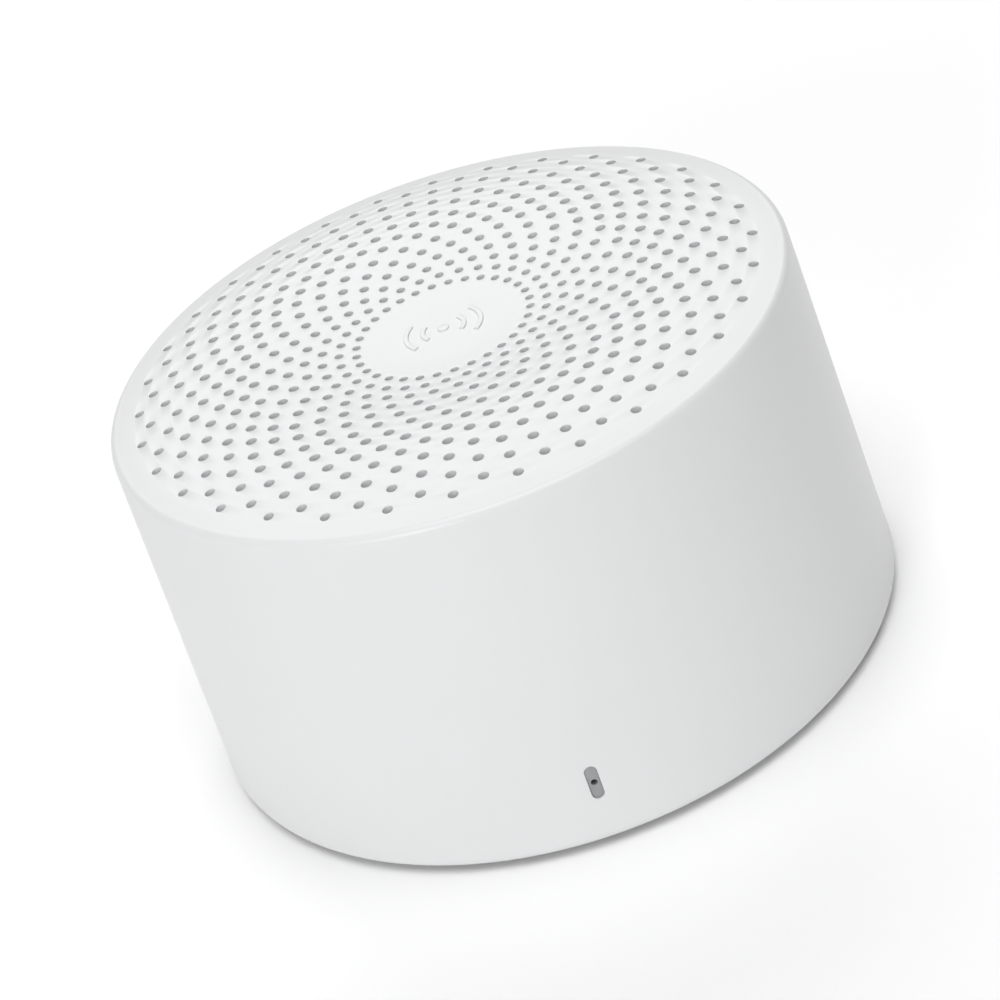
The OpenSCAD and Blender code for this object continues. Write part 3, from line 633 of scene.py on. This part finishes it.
@dataclass
class Housing:
    """Moulded shell: a perforated, dished top face and a side that widens downwards."""

    grille: GrilleRings = field(default_factory=GrilleRings)
    taper: float = 1.15 * MM
    wall: float = 1.6 * MM
    face: float = 1.4 * MM
    rim_round: float = 0.6 * MM
    edge_round: float = 1.0 * MM
    dish_r: float = 3.6 * MM
    crest_r: float = 18.3 * MM
    crest_h: float = 0.86 * MM
    rim_drop: float = 0.85 * MM
    front_gap: float = 2.4 * MM
    groove_z: float = 3.2 * MM
    groove_d: float = 0.4 * MM
    groove_w: float = 0.6 * MM
    foot_chamfer: float = 0.15 * MM
    opening_gap: float = 0.6 * MM
    core_rows: tuple[float, ...] = (0.0, 1.2, 2.4)
    slope_rows: tuple[float, ...] = (4.6, 5.6)
    rim_rows: tuple[float, ...] = (26.4, 26.9, 27.3)
    outer_rows: tuple[float, ...] = (28, 24, 20, 16, 12, 9.5, 8.6, 7.8, 7, 6.2, 5.4, 4.6, 3.8, 3, 2.2)
    inner_rows: tuple[float, ...] = (6, 7, 8, 9, 12, 20)
    round_steps: int = 8
    hole_flare: float = 0.035 * MM
    hole_steps: tuple[tuple[float, float | None], ...] = ((0.3, 0.3), (0.0, 1.0), (0.0, None))
    port_w: float = 7.5 * MM
    port_h: float = 2.5 * MM
    port_gap: float = 0.45 * MM
    port_start: float = 4 * MM
    window_w: float = 1.0 * MM
    window_h: float = 3.1 * MM
    window_z: float = 6.1 * MM
    window_start: float = 2 * MM
    slot_depth: float = 6 * MM
    slot_round: float = 0.1 * MM
    side_low: float = 1.5 * MM
    side_high: float = 2 * MM
    side_reach: float = 0.03 * MM
    emblem_h: float = 0.12 * MM
    emblem_sink: float = 0.05 * MM
    emblem_radii: tuple[float, ...] = (1.5 * MM, 2.9 * MM)
    emblem_dot: float = 0.5 * MM
    emblem_bar: float = 0.45 * MM
    emblem_reach: float = 38.0
    emblem_round: float = 0.09 * MM
    turns: int = 192
    cell: int = 6

    def __post_init__(self) -> None:
        """Takes the overall sizes from the CAD housing."""
        low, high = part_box("housing")
        self.edge_r = (high.x - low.x) / 2
        self.rim_r = self.edge_r - self.taper
        self.base_z, self.top_z = low.z, high.z
        self.rim_z = self.top_z - self.rim_drop
        self.ceiling_z = self.top_z - self.crest_h - self.face

    def face_z(self, r: float) -> float:
        """Returns the height of the top face at a radius."""
        if r <= self.dish_r:
            return self.top_z - self.crest_h
        if r <= self.crest_r:
            turn = pi * (r - self.dish_r) / (self.crest_r - self.dish_r)
            return self.top_z - self.crest_h * (1 + cos(turn)) / 2
        share = (r - self.crest_r) / (self.rim_r - self.rim_round - self.crest_r)
        return self.top_z - self.rim_drop * share * share

    def side_r(self, z: float) -> float:
        """Returns the outer radius at a height."""
        return self.edge_r - self.taper * (z - self.base_z) / (self.rim_z - self.base_z)

    def inner_r(self, z: float) -> float:
        """Returns the wall's inner radius at a height."""
        return self.side_r(z) - self.wall

    def face_rows(self) -> list[float]:
        """Returns the radii of the top face's rows, six to a ring of holes."""
        half = self.cell // 2
        rows = [r * MM for r in self.core_rows] + [self.dish_r] + [r * MM for r in self.slope_rows]
        borders = self.grille.borders()
        for ring, (inner, outer) in enumerate(zip(borders, borders[1:])):
            middle = self.grille.radius(ring)
            rows += [inner + (middle - inner) * i / half for i in range(half)]
            rows += [middle + (outer - middle) * i / half for i in range(half)]
        return rows + [borders[-1]]

    def outline(self) -> Outline:
        """Returns the closed outline of the shell."""
        slope = degrees(atan2(self.taper, self.rim_z - self.base_z))
        rows = self.face_rows()
        shoulder_z = self.ceiling_z - self.front_gap
        upper_r = self.grille.last_r + self.opening_gap
        d, g, w = self.groove_d, self.groove_z, self.groove_w
        inside, steps = self.inner_r, self.round_steps
        rim_at = (self.rim_r - self.rim_round, self.rim_z - self.rim_round)
        edge_at = (self.edge_r - self.edge_round, self.base_z + self.edge_round)
        return [
            *[(r, self.face_z(r)) for r in rows],
            *[(r, self.face_z(r)) for r in (row * MM for row in self.rim_rows)],
            *arc(rim_at, self.rim_round, 90, slope, steps),
            *[(self.side_r(z * MM), z * MM) for z in self.outer_rows],
            *arc(edge_at, self.edge_round, slope, -90, steps),
            (inside(self.base_z) + self.foot_chamfer, self.base_z),
            (inside(self.base_z), self.base_z + self.foot_chamfer),
            (inside(g), g), (inside(g) + d, g + d), (inside(g) + d, g + d + w),
            (inside(g), g + 2 * d + w),
            *[(inside(z * MM), z * MM) for z in self.inner_rows],
            (inside(shoulder_z), shoulder_z), (upper_r, shoulder_z), (upper_r, self.ceiling_z),
            *[(r, self.ceiling_z) for r in reversed(rows)],
        ]

    def place(self, x: float, y: float) -> tuple[Vector, float, float, float]:
        """Finds where a point lies in its hole's cell.

        Args:
            x: The point's X.
            y: The point's Y.

        Returns:
            The hole's centre, its radius, and the point's steps along and out from the centre.
        """
        r, turn = hypot(x, y), atan2(y, x)
        borders = self.grille.borders()
        ring = max(i for i, border in enumerate(borders[:-1]) if r >= border - 1e-9 or i == 0)
        pitch = 2 * pi / self.grille.holes
        stagger = ring % 2 / 2
        hole = floor(turn / pitch - stagger + 0.5)
        angle = (hole + stagger) * pitch
        middle = self.grille.radius(ring)
        reach = borders[ring + 1] - middle if r > middle else middle - borders[ring]
        along = (turn - angle) / pitch * self.cell
        out = (r - middle) / reach * self.cell / 2
        centre = Vector((middle * cos(angle), middle * sin(angle), 0))
        return centre, self.grille.hole_r(ring), along, out

    def punch(self, bm: Mesh) -> None:
        """Opens the holes through the top face and gives each a broken rim and a wall.

        Args:
            bm: The spun shell.
        """
        borders = self.grille.borders()
        inner = []
        for face in bm.faces:
            middle = face.calc_center_median()
            if middle.z > self.ceiling_z - NEAR and borders[0] < hypot(middle.x, middle.y) < borders[-1]:
                _, _, along, out = self.place(middle.x, middle.y)
                if max(abs(along), abs(out)) < CELL_REACH:
                    inner.append(face)
        bmesh.ops.delete(bm, geom=inner, context="FACES")
        rims = [e for e in bm.edges if e.is_boundary]
        for vert in {v for e in rims for v in e.verts}:
            self._round_off(vert)
        edges = [e for e in rims if min(v.co.z for v in e.verts) > self.ceiling_z + CLEAR]
        for grow, drop in self.hole_steps:
            edges = self._step_down(bm, edges, grow * self.hole_flare, drop)
        bmesh.ops.remove_doubles(bm, verts=bm.verts, dist=NEAR)

    def _round_off(self, vert: Vert) -> None:
        """Moves a vertex of a square opening onto its hole's circle."""
        centre, hole_r, along, out = self.place(vert.co.x, vert.co.y)
        u, v = round(along), round(out)
        eighth = pi / 8
        if v == CELL_REACH:
            turn = pi / 2 - eighth * u
        elif v == -CELL_REACH:
            turn = -pi / 2 + eighth * u
        else:
            turn = eighth * v if u > 0 else pi - eighth * v
        outward = centre.normalized()
        onward = Vector((-outward.y, outward.x, 0))
        top = vert.co.z > self.ceiling_z + CLEAR
        reach = hole_r + (self.hole_flare if top else 0)
        at = centre + reach * (cos(turn) * onward + sin(turn) * outward)
        at.z = self.face_z(hypot(at.x, at.y)) if top else self.ceiling_z
        vert.co = at

    def _step_down(
        self, bm: Mesh, edges: list[Edge], grow: float, drop: float | None,
    ) -> list[Edge]:
        """Extrudes the holes' rims one step down.

        Args:
            bm: The shell.
            edges: The rims.
            grow: How much wider than its hole the next rim is.
            drop: The step's depth as a share of the flare, or None to reach the ceiling.

        Returns:
            The next rims.
        """
        made = bmesh.ops.extrude_edge_only(bm, edges=edges)["geom"]
        for vert in (item for item in made if isinstance(item, Vert)):
            centre, hole_r, _, _ = self.place(vert.co.x, vert.co.y)
            away = Vector((vert.co.x - centre.x, vert.co.y - centre.y, 0)).normalized()
            at = centre + away * (hole_r + grow)
            at.z = self.ceiling_z if drop is None else vert.co.z - drop * self.hole_flare
            vert.co = at
        return [item for item in made if isinstance(item, Edge)]

    def slots(self) -> Thing:
        """Returns the cutter for the window slot and the charging slot."""
        bm = bmesh.new()
        low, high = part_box("usb_shell")
        z = (low.z + high.z) / 2
        through = Vector((0, self.slot_depth, 0))
        size = (self.port_w + 2 * self.port_gap, self.port_h + 2 * self.port_gap)
        port = pill(bm, *size, Vector((0, self.edge_r - self.port_start, z)))
        drawn_out(bm, port, through)
        at = Vector((0, -self.edge_r - self.window_start, self.window_z))
        lens = pill(bm, self.window_w, self.window_h, at)
        drawn_out(bm, lens, through)
        bmesh.ops.recalc_face_normals(bm, faces=bm.faces)
        return made_object(bm, "slot_cutter")

    def cut(self, bm: Mesh) -> Mesh:
        """Cuts the slots through the wall and breaks their outer edges.

        Args:
            bm: The punched shell, which is freed.

        Returns:
            The shell with its slots.
        """
        bmesh.ops.recalc_face_normals(bm, faces=bm.faces)
        blank = made_object(bm, "blank")
        cutter = self.slots()
        knife = blank.modifiers.new("slots", "BOOLEAN")
        knife.operation, knife.solver, knife.object = "DIFFERENCE", "EXACT", cutter
        graph = bpy.context.evaluated_depsgraph_get()
        done = bmesh.new()
        done.from_mesh(blank.evaluated_get(graph).to_mesh())
        for spare in (blank, cutter):
            bpy.data.objects.remove(spare)
        rims = [
            e for e in done.edges
            if e.is_manifold and e.calc_face_angle(0.0) > CORNER
            and all(self._on_side(v.co) for v in e.verts)
        ]
        eased(done, rims, self.slot_round, 3)
        return done

    def _on_side(self, at: Vector) -> bool:
        """Returns whether a point lies on the outside of the wall, clear of its rounded edges."""
        if not self.base_z + self.side_low < at.z < self.rim_z - self.side_high:
            return False
        return abs(hypot(at.x, at.y) - self.side_r(at.z)) < self.side_reach

    def build(self) -> None:
        """Builds the shell and its emblem."""
        bm = spun(self.outline(), self.turns)
        self.punch(bm)
        bm = self.cut(bm)
        settle(bm, "housing_shell", "white_plastic", stands_for=("housing",), recalc=False)
        self.emblem()

    def emblem(self) -> None:
        """Builds the low raised emblem: a dot between two pairs of arcs."""
        z = self.face_z(0) - self.emblem_sink
        height = self.emblem_h + self.emblem_sink
        bm = bmesh.new()
        for radius in self.emblem_radii:
            for side in (0.0, pi):
                self._emblem_bar(bm, radius, side, z, height)
        made = bmesh.ops.create_circle(bm, cap_ends=True, radius=self.emblem_dot, segments=32)
        dot = made["verts"]
        bmesh.ops.translate(bm, verts=dot, vec=(0, 0, z))
        top = drawn_out(bm, dot[0].link_faces[0], Vector((0, 0, height)))
        self._soften(bm, top)
        settle(bm, "emblem", "white_plastic")

    def _emblem_bar(
        self, bm: Mesh, radius: float, side: float, z: float, height: float,
    ) -> None:
        """Adds one arc of the emblem.

        Args:
            bm: Mesh that gets the arc.
            radius: Its inner radius.
            side: Direction of its middle.
            z: Height of its foot.
            height: Its height.
        """
        reach, width, steps = radians(self.emblem_reach), self.emblem_bar, 20
        inner = bm.verts.new((radius * cos(side - reach), radius * sin(side - reach), z))
        outer_r = radius + width
        outer = bm.verts.new((outer_r * cos(side - reach), outer_r * sin(side - reach), z))
        edge = bm.edges.new((inner, outer))
        swept = bmesh.ops.spin(
            bm, geom=[inner, outer, edge], cent=ORIGIN, axis=AROUND_Z, dvec=ORIGIN,
            angle=2 * reach, steps=steps, use_merge=False, use_duplicate=False,
        )
        last = [item for item in swept["geom_last"] if isinstance(item, Vert)]
        found, front = set(), {inner, outer, *last}
        while front:
            found |= front
            front = {e.other_vert(v) for v in front for e in v.link_edges} - found
        faces = {f for v in found for f in v.link_faces}
        made = bmesh.ops.extrude_face_region(bm, geom=list(faces), use_keep_orig=True)
        top = [item for item in made["geom"] if isinstance(item, Vert)]
        bmesh.ops.translate(bm, verts=top, vec=(0, 0, height))
        self._soften(bm, top)

    def _soften(self, bm: Mesh, top: list[Vert]) -> None:
        """Rounds the upper edges of a raised mark."""
        chosen = set(top)
        bmesh.ops.recalc_face_normals(bm, faces=bm.faces)
        edges = [
            e for e in bm.edges
            if set(e.verts) <= chosen and e.is_manifold and e.calc_face_angle(0.0) > CORNER
        ]
        eased(bm, edges, self.emblem_round, 3)


# ---------------------------------------------------------------- window, socket, base


@dataclass
class StatusWindow:
    """Smoked pill-shaped lens with the microphone port in its middle."""

    width: float = 0.955 * MM
    height: float = 3.04 * MM
    z: float = 6.1 * MM
    depth_left: float = 0.8 * MM
    rim_inset: float = 0.1 * MM
    rim_rise: float = 0.05 * MM
    port_r: float = 0.27 * MM
    port_inset: float = 0.15 * MM
    port_depth: float = 1.2 * MM
    pad_t: float = 0.7 * MM
    pad_round: float = 0.1 * MM

    def build(self) -> None:
        """Builds the lens, whose pad lies on the inside of the wall."""
        low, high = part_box("light_guide")
        bm = bmesh.new()
        back = pill(bm, self.width, self.height, Vector((0, high.y - self.depth_left, self.z)))
        front = drawn_out(bm, back, Vector((0, low.y - high.y + self.depth_left, 0)))
        bmesh.ops.recalc_face_normals(bm, faces=bm.faces)
        chosen = set(front)
        face = next(f for f in bm.faces if set(f.verts) == chosen)
        bmesh.ops.inset_region(bm, faces=[face], thickness=self.rim_inset, depth=self.rim_rise)
        self._port(bm, face)
        settle(bm, "window_lens", "lens", stands_for=("light_guide",))
        self._pad(low, high)

    def _port(self, bm: Mesh, face: Face) -> None:
        """Sinks the microphone port into the lens's face."""
        bmesh.ops.inset_region(bm, faces=[face], thickness=self.port_inset)
        middle = face.calc_center_median()
        reach = Vector((0, 0, (self.height - self.width) / 2))
        for vert in face.verts:
            end = middle + (reach if vert.co.z > middle.z else -reach)
            vert.co = middle + (vert.co - end).normalized() * self.port_r
        made = bmesh.ops.extrude_discrete_faces(bm, faces=[face])["faces"][0]
        bmesh.ops.translate(bm, verts=made.verts, vec=(0, self.port_depth, 0))

    def _pad(self, low: Vector, high: Vector) -> None:
        """Builds the pad behind the wall."""
        bm = bmesh.new()
        made = bmesh.ops.create_grid(bm, x_segments=8, y_segments=4, size=0.5)
        size = Vector((high.x - low.x, self.pad_t, high.z - low.z))
        bmesh.ops.scale(bm, verts=made["verts"], vec=(size.x, size.z, 1))
        bmesh.ops.rotate(bm, verts=made["verts"], cent=ORIGIN, matrix=Matrix.Rotation(pi / 2, 3, "X"))
        at = (0, high.y - self.pad_t / 2, (low.z + high.z) / 2)
        bmesh.ops.translate(bm, verts=made["verts"], vec=at)
        bmesh.ops.solidify(bm, geom=bm.faces[:], thickness=size.y / 2)
        edges = [e for e in bm.edges if e.is_manifold and e.calc_face_angle(0.0) > CORNER]
        eased(bm, edges, self.pad_round, clamp=False)
        settle(bm, "window_pad", "lens")


@dataclass
class ChargeSocket:
    """Folded steel shell and the contact tongue inside it."""

    contacts: int = 5
    pitch: float = 0.65 * MM
    contact_size: tuple[float, float, float] = (0.3 * MM, 2.4 * MM, 0.06 * MM)
    contact_back: float = 1.4 * MM
    contact_rise: float = 1.14 * MM
    contact_round: float = 0.02 * MM

    def build(self) -> None:
        """Builds the shell from its CAD solid and adds the tongue's contacts."""
        refined("usb_shell", 0.08)
        refined("usb_tongue", 0.06)
        _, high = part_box("usb_tongue")
        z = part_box("usb_shell")[0].z + self.contact_rise
        bm = bmesh.new()
        for i in range(self.contacts):
            x = (i - self.contacts // 2) * self.pitch
            made = bmesh.ops.create_cube(bm, size=1.0)["verts"]
            bmesh.ops.scale(bm, verts=made, vec=self.contact_size)
            bmesh.ops.translate(bm, verts=made, vec=(x, high.y - self.contact_back, z))
        eased(bm, bm.edges[:], self.contact_round, clamp=False)
        settle(bm, "socket_contacts", "gold_plate")


@dataclass
class Base:
    """Foot ring, base plate and push button, which show from underneath."""

    grip_grooves: int = 3
    foot_w: float = 5.2 * MM
    foot_round: float = 0.4 * MM
    grip_half: float = 0.18 * MM
    grip_floor: float = 0.08 * MM
    grip_depth: float = 0.12 * MM
    flange_ledge: float = 1.0 * MM
    flange_drop: float = 0.9 * MM
    flange_t: float = 0.6 * MM
    flange_round: float = 0.08 * MM
    cap_round: float = 0.35 * MM
    dish_share: float = 0.8
    dish_depth: float = 0.2 * MM
    dish_steps: int = 8
    ring_in: float = 1.15 * MM
    ring_depth: float = 0.12 * MM
    turns: int = 160

    def build(self) -> None:
        """Builds the three pieces."""
        refined("base_plate", 0.12)
        self._foot()
        self._button()

    def _foot(self) -> None:
        """Spins the soft ring, with shallow grip grooves in its underside."""
        _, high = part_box("foot_ring")
        outer = high.x
        inner = outer - self.foot_w
        pitch = (outer - inner) / (self.grip_grooves + 1)
        under: Outline = []
        for i in range(1, self.grip_grooves + 1):
            at = inner + pitch * i
            under += [
                (at - self.grip_half, 0.0), (at - self.grip_floor, self.grip_depth),
                (at + self.grip_floor, self.grip_depth), (at + self.grip_half, 0.0),
            ]
        turn = self.foot_round
        outline = [
            (inner, high.z), *arc((inner + turn, turn), turn, 180, 270, 6), *under,
            *arc((outer - turn, turn), turn, 270, 360, 6), (outer, high.z),
        ]
        ring = spun(outline, self.turns)
        settle(ring, "foot_ring_soft", "foot_rubber", stands_for=("foot_ring",))

    def _button(self) -> None:
        """Spins the button cap: a dished face with an engraved ring, a flange and a stem."""
        low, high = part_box("power_button")
        flange = high.x
        cap = flange - self.flange_ledge
        face_z, top_z = low.z, high.z
        flange_z = top_z - self.flange_drop
        flange_top, steps = flange_z + self.flange_t, self.dish_steps
        dish = [
            (cap * self.dish_share * i / steps, face_z + self.dish_depth * (1 - (i / steps) ** 2))
            for i in range(steps)
        ]
        groove, turn, edge = cap - self.ring_in, self.cap_round, self.flange_round
        outline = [
            *dish,
            (groove - 0.1 * MM, face_z), (groove, face_z + self.ring_depth),
            (groove + 0.2 * MM, face_z + self.ring_depth), (groove + 0.3 * MM, face_z),
            *arc((cap - turn, face_z + turn), turn, 270, 360, 6),
            (cap, flange_z), (flange - edge, flange_z), (flange, flange_z + edge),
            (flange, flange_z + 0.52 * MM), (flange - edge, flange_top),
            (1.3 * MM, flange_top), (1.1 * MM, top_z - 0.1 * MM), (0.85 * MM, top_z), (0.0, top_z),
        ]
        cap_mesh = spun(outline, self.turns)
        settle(cap_mesh, "button_cap", "white_plastic", "button", ("power_button",))


# ---------------------------------------------------------------- driver and interior


@dataclass
class Driver:
    """Upward driver: its fixed parts, its moving parts and the suspension between them."""

    fixed: tuple[str, ...] = ("basket", "pole_plate", "magnet", "yoke", "terminal_strip", "driver_screws")
    moving: tuple[str, ...] = ("cone", "dust_cap", "coil_former", "voice_coil")
    spider_margin: float = 0.25 * MM
    lead_margin: float = 1.5 * MM

    def build(self) -> None:
        """Builds every piece of the driver."""
        for node in self.fixed:
            refined(node, 0.08)
        for node in self.moving:
            refined(node, 0.0, "diaphragm")
        lip_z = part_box("basket")[1].z
        cone_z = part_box("cone")[1].z
        self._bend("surround", lip_z, cone_z)
        low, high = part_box("spider")
        self._bend("spider", low.z + self.spider_margin, high.z - self.spider_margin)
        low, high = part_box("tinsel_leads")
        self._bend("tinsel_leads", low.z + self.lead_margin, high.z)

    def _bend(self, node: str, held_z: float, moved_z: float) -> None:
        """Builds a piece from its CAD solid, on no body, with its placement baked into its mesh."""
        piece = refined(node, 0.0, "")
        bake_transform(piece)


@dataclass
class Interior:
    """Everything else inside the housing."""

    plain: tuple[str, ...] = (
        "dust_cloth", "frame_gasket", "baffle", "rear_chamber", "chamber_foam", "lead_grommet",
        "base_screws", "board_screws", "speaker_plug", "speaker_header", "battery_cell", "battery_tape",
        "battery_guard", "battery_plug", "battery_header", "main_board", "radio_can", "sound_chip",
        "charger_chip", "crystal", "inductors", "capacitors", "antenna", "status_led", "microphone",
        "microphone_boot", "switch_body",
    )
    wires: tuple[str, ...] = ("speaker_leads", "battery_lead_plus", "battery_lead_minus")

    def build(self) -> None:
        """Builds the interior pieces from their CAD solids."""
        for node in self.plain:
            refined(node, 0.06)
        for node in self.wires:
            refined(node, 0.0)
        refined("switch_plunger", 0.08, "plunger")


# ---------------------------------------------------------------- studio


@dataclass(frozen=True)
class Softbox:
    """One area light, placed round the speaker."""

    name: str
    azimuth: float
    elevation: float
    distance: float
    width: float
    height: float
    watts: float


@dataclass
class Studio:
    """Pale floor, soft lights and the camera."""

    camera_distance: float = 0.24637
    camera_azimuth: float = 2.22
    camera_elevation: float = 27.784
    pan: float = -0.1118
    tilt: float = -3.3573
    roll: float = -20.185
    lens: float = 111.71
    aim_z: float = 31.66 * MM
    sky: float = 0.18
    backdrop: float = 0.75
    ceiling: float = 1.87
    ceiling_spread: float = 48.0
    light_aim_z: float = 16 * MM
    floor_half: float = 4.0
    floor_white: float = 0.99
    floor_rough: float = 0.9
    boxes: tuple[Softbox, ...] = (
        Softbox("front", -26, 10, 0.8, 0.25, 0.5, 2.55),
        Softbox("rear", 180, 40, 0.9, 0.6, 0.6, 2.7),
    )

    def build(self) -> None:
        """Sets up the floor, the lights, the sky and the camera."""
        self._floor()
        for box in self.boxes:
            self._light(box)
        self._ceiling()
        self._sky()
        self._camera()
        bpy.context.scene.view_settings.view_transform = "Standard"

    def _floor(self) -> None:
        """Lays a wide pale floor at the height that the speaker stands on."""
        bm = bmesh.new()
        bmesh.ops.create_grid(bm, x_segments=4, y_segments=4, size=self.floor_half)
        floor_piece = made_object(bm, "floor")
        paint = bpy.data.materials.new("floor_paint")
        paint.use_nodes = True
        shader = paint.node_tree.nodes["Principled BSDF"]
        shader.inputs["Base Color"].default_value = (*[self.floor_white] * 3, 1)
        shader.inputs["Roughness"].default_value = self.floor_rough
        floor_piece.data.materials.append(paint)
        floor_piece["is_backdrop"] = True

    def _direction(self, azimuth: float, elevation: float) -> Vector:
        """Returns the unit vector towards a place round the speaker, with azimuth 0 in front."""
        a, e = radians(azimuth), radians(elevation)
        return Vector((sin(a) * cos(e), -cos(a) * cos(e), sin(e)))

    def _light(self, box: Softbox) -> None:
        """Hangs one softbox, turned towards the speaker."""
        light = bpy.data.lights.new(box.name, "AREA")
        light.shape = "RECTANGLE"
        light.size, light.size_y = box.width, box.height
        light.energy = box.watts
        lamp = bpy.data.objects.new(box.name, light)
        aim = Vector((0, 0, self.light_aim_z))
        way = self._direction(box.azimuth, box.elevation)
        lamp.location = aim + way * box.distance
        lamp.rotation_euler = way.to_track_quat("Z", "Y").to_euler()
        bpy.context.scene.collection.objects.link(lamp)

    def _ceiling(self) -> None:
        """Lights the whole floor from a broad ceiling, almost straight above."""
        light = bpy.data.lights.new("ceiling", "SUN")
        light.energy, light.angle = self.ceiling, radians(self.ceiling_spread)
        lamp = bpy.data.objects.new("ceiling", light)
        lamp.rotation_euler = self._direction(10, 80).to_track_quat("Z", "Y").to_euler()
        bpy.context.scene.collection.objects.link(lamp)

    def _sky(self) -> None:
        """Fills the room with soft white light, and shows a brighter backdrop behind the floor."""
        world = bpy.data.worlds.new("room")
        world.use_nodes = True
        tree = world.node_tree
        back = tree.nodes["Background"]
        back.inputs["Color"].default_value = (1.0, 1.0, 1.0, 1)
        seen = tree.nodes.new("ShaderNodeLightPath").outputs["Is Camera Ray"]
        strength = maths(tree, "MULTIPLY_ADD", seen, self.backdrop - self.sky, self.sky)
        tree.links.new(strength, back.inputs["Strength"])
        bpy.context.scene.world = world

    def _camera(self) -> None:
        """Places the camera, panned and tilted off its aim and rolled."""
        lens = bpy.data.cameras.new("view")
        lens.lens, lens.sensor_width, lens.sensor_fit = self.lens, 36.0, "HORIZONTAL"
        lens.clip_start, lens.clip_end = 0.01, 20.0
        way = self._direction(self.camera_azimuth, self.camera_elevation)
        ahead = -way
        right = ahead.cross(Vector(AROUND_Z)).normalized()
        up = right.cross(ahead)
        look = (ahead + tan(radians(self.pan)) * right + tan(radians(self.tilt)) * up).normalized()
        side = look.cross(up).normalized()
        rise = side.cross(look)
        turn = radians(self.roll)
        across = cos(turn) * side + sin(turn) * rise
        upward = -sin(turn) * side + cos(turn) * rise
        basis = Matrix((across, upward, -look)).transposed()
        eye = Vector((0, 0, self.aim_z)) + way * self.camera_distance
        viewer = bpy.data.objects.new("view", lens)
        viewer.matrix_world = Matrix.Translation(eye) @ basis.to_4x4()
        bpy.context.scene.collection.objects.link(viewer)
        bpy.context.scene.camera = viewer


def write_sizes() -> None:
    """Works out the CAD box and the visual model's box."""
    boxes = {"cad": CAD_BOX, "visual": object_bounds()}
    plain = {name: [list(map(float, corner)) for corner in box] for name, box in boxes.items()}


def main() -> None:
    """Builds the speaker and its studio."""
    Studio().build()
    Housing().build()
    StatusWindow().build()
    ChargeSocket().build()
    Base().build()
    Driver().build()
    Interior().build()
    write_sizes()


if __name__ == "__main__":
    main()
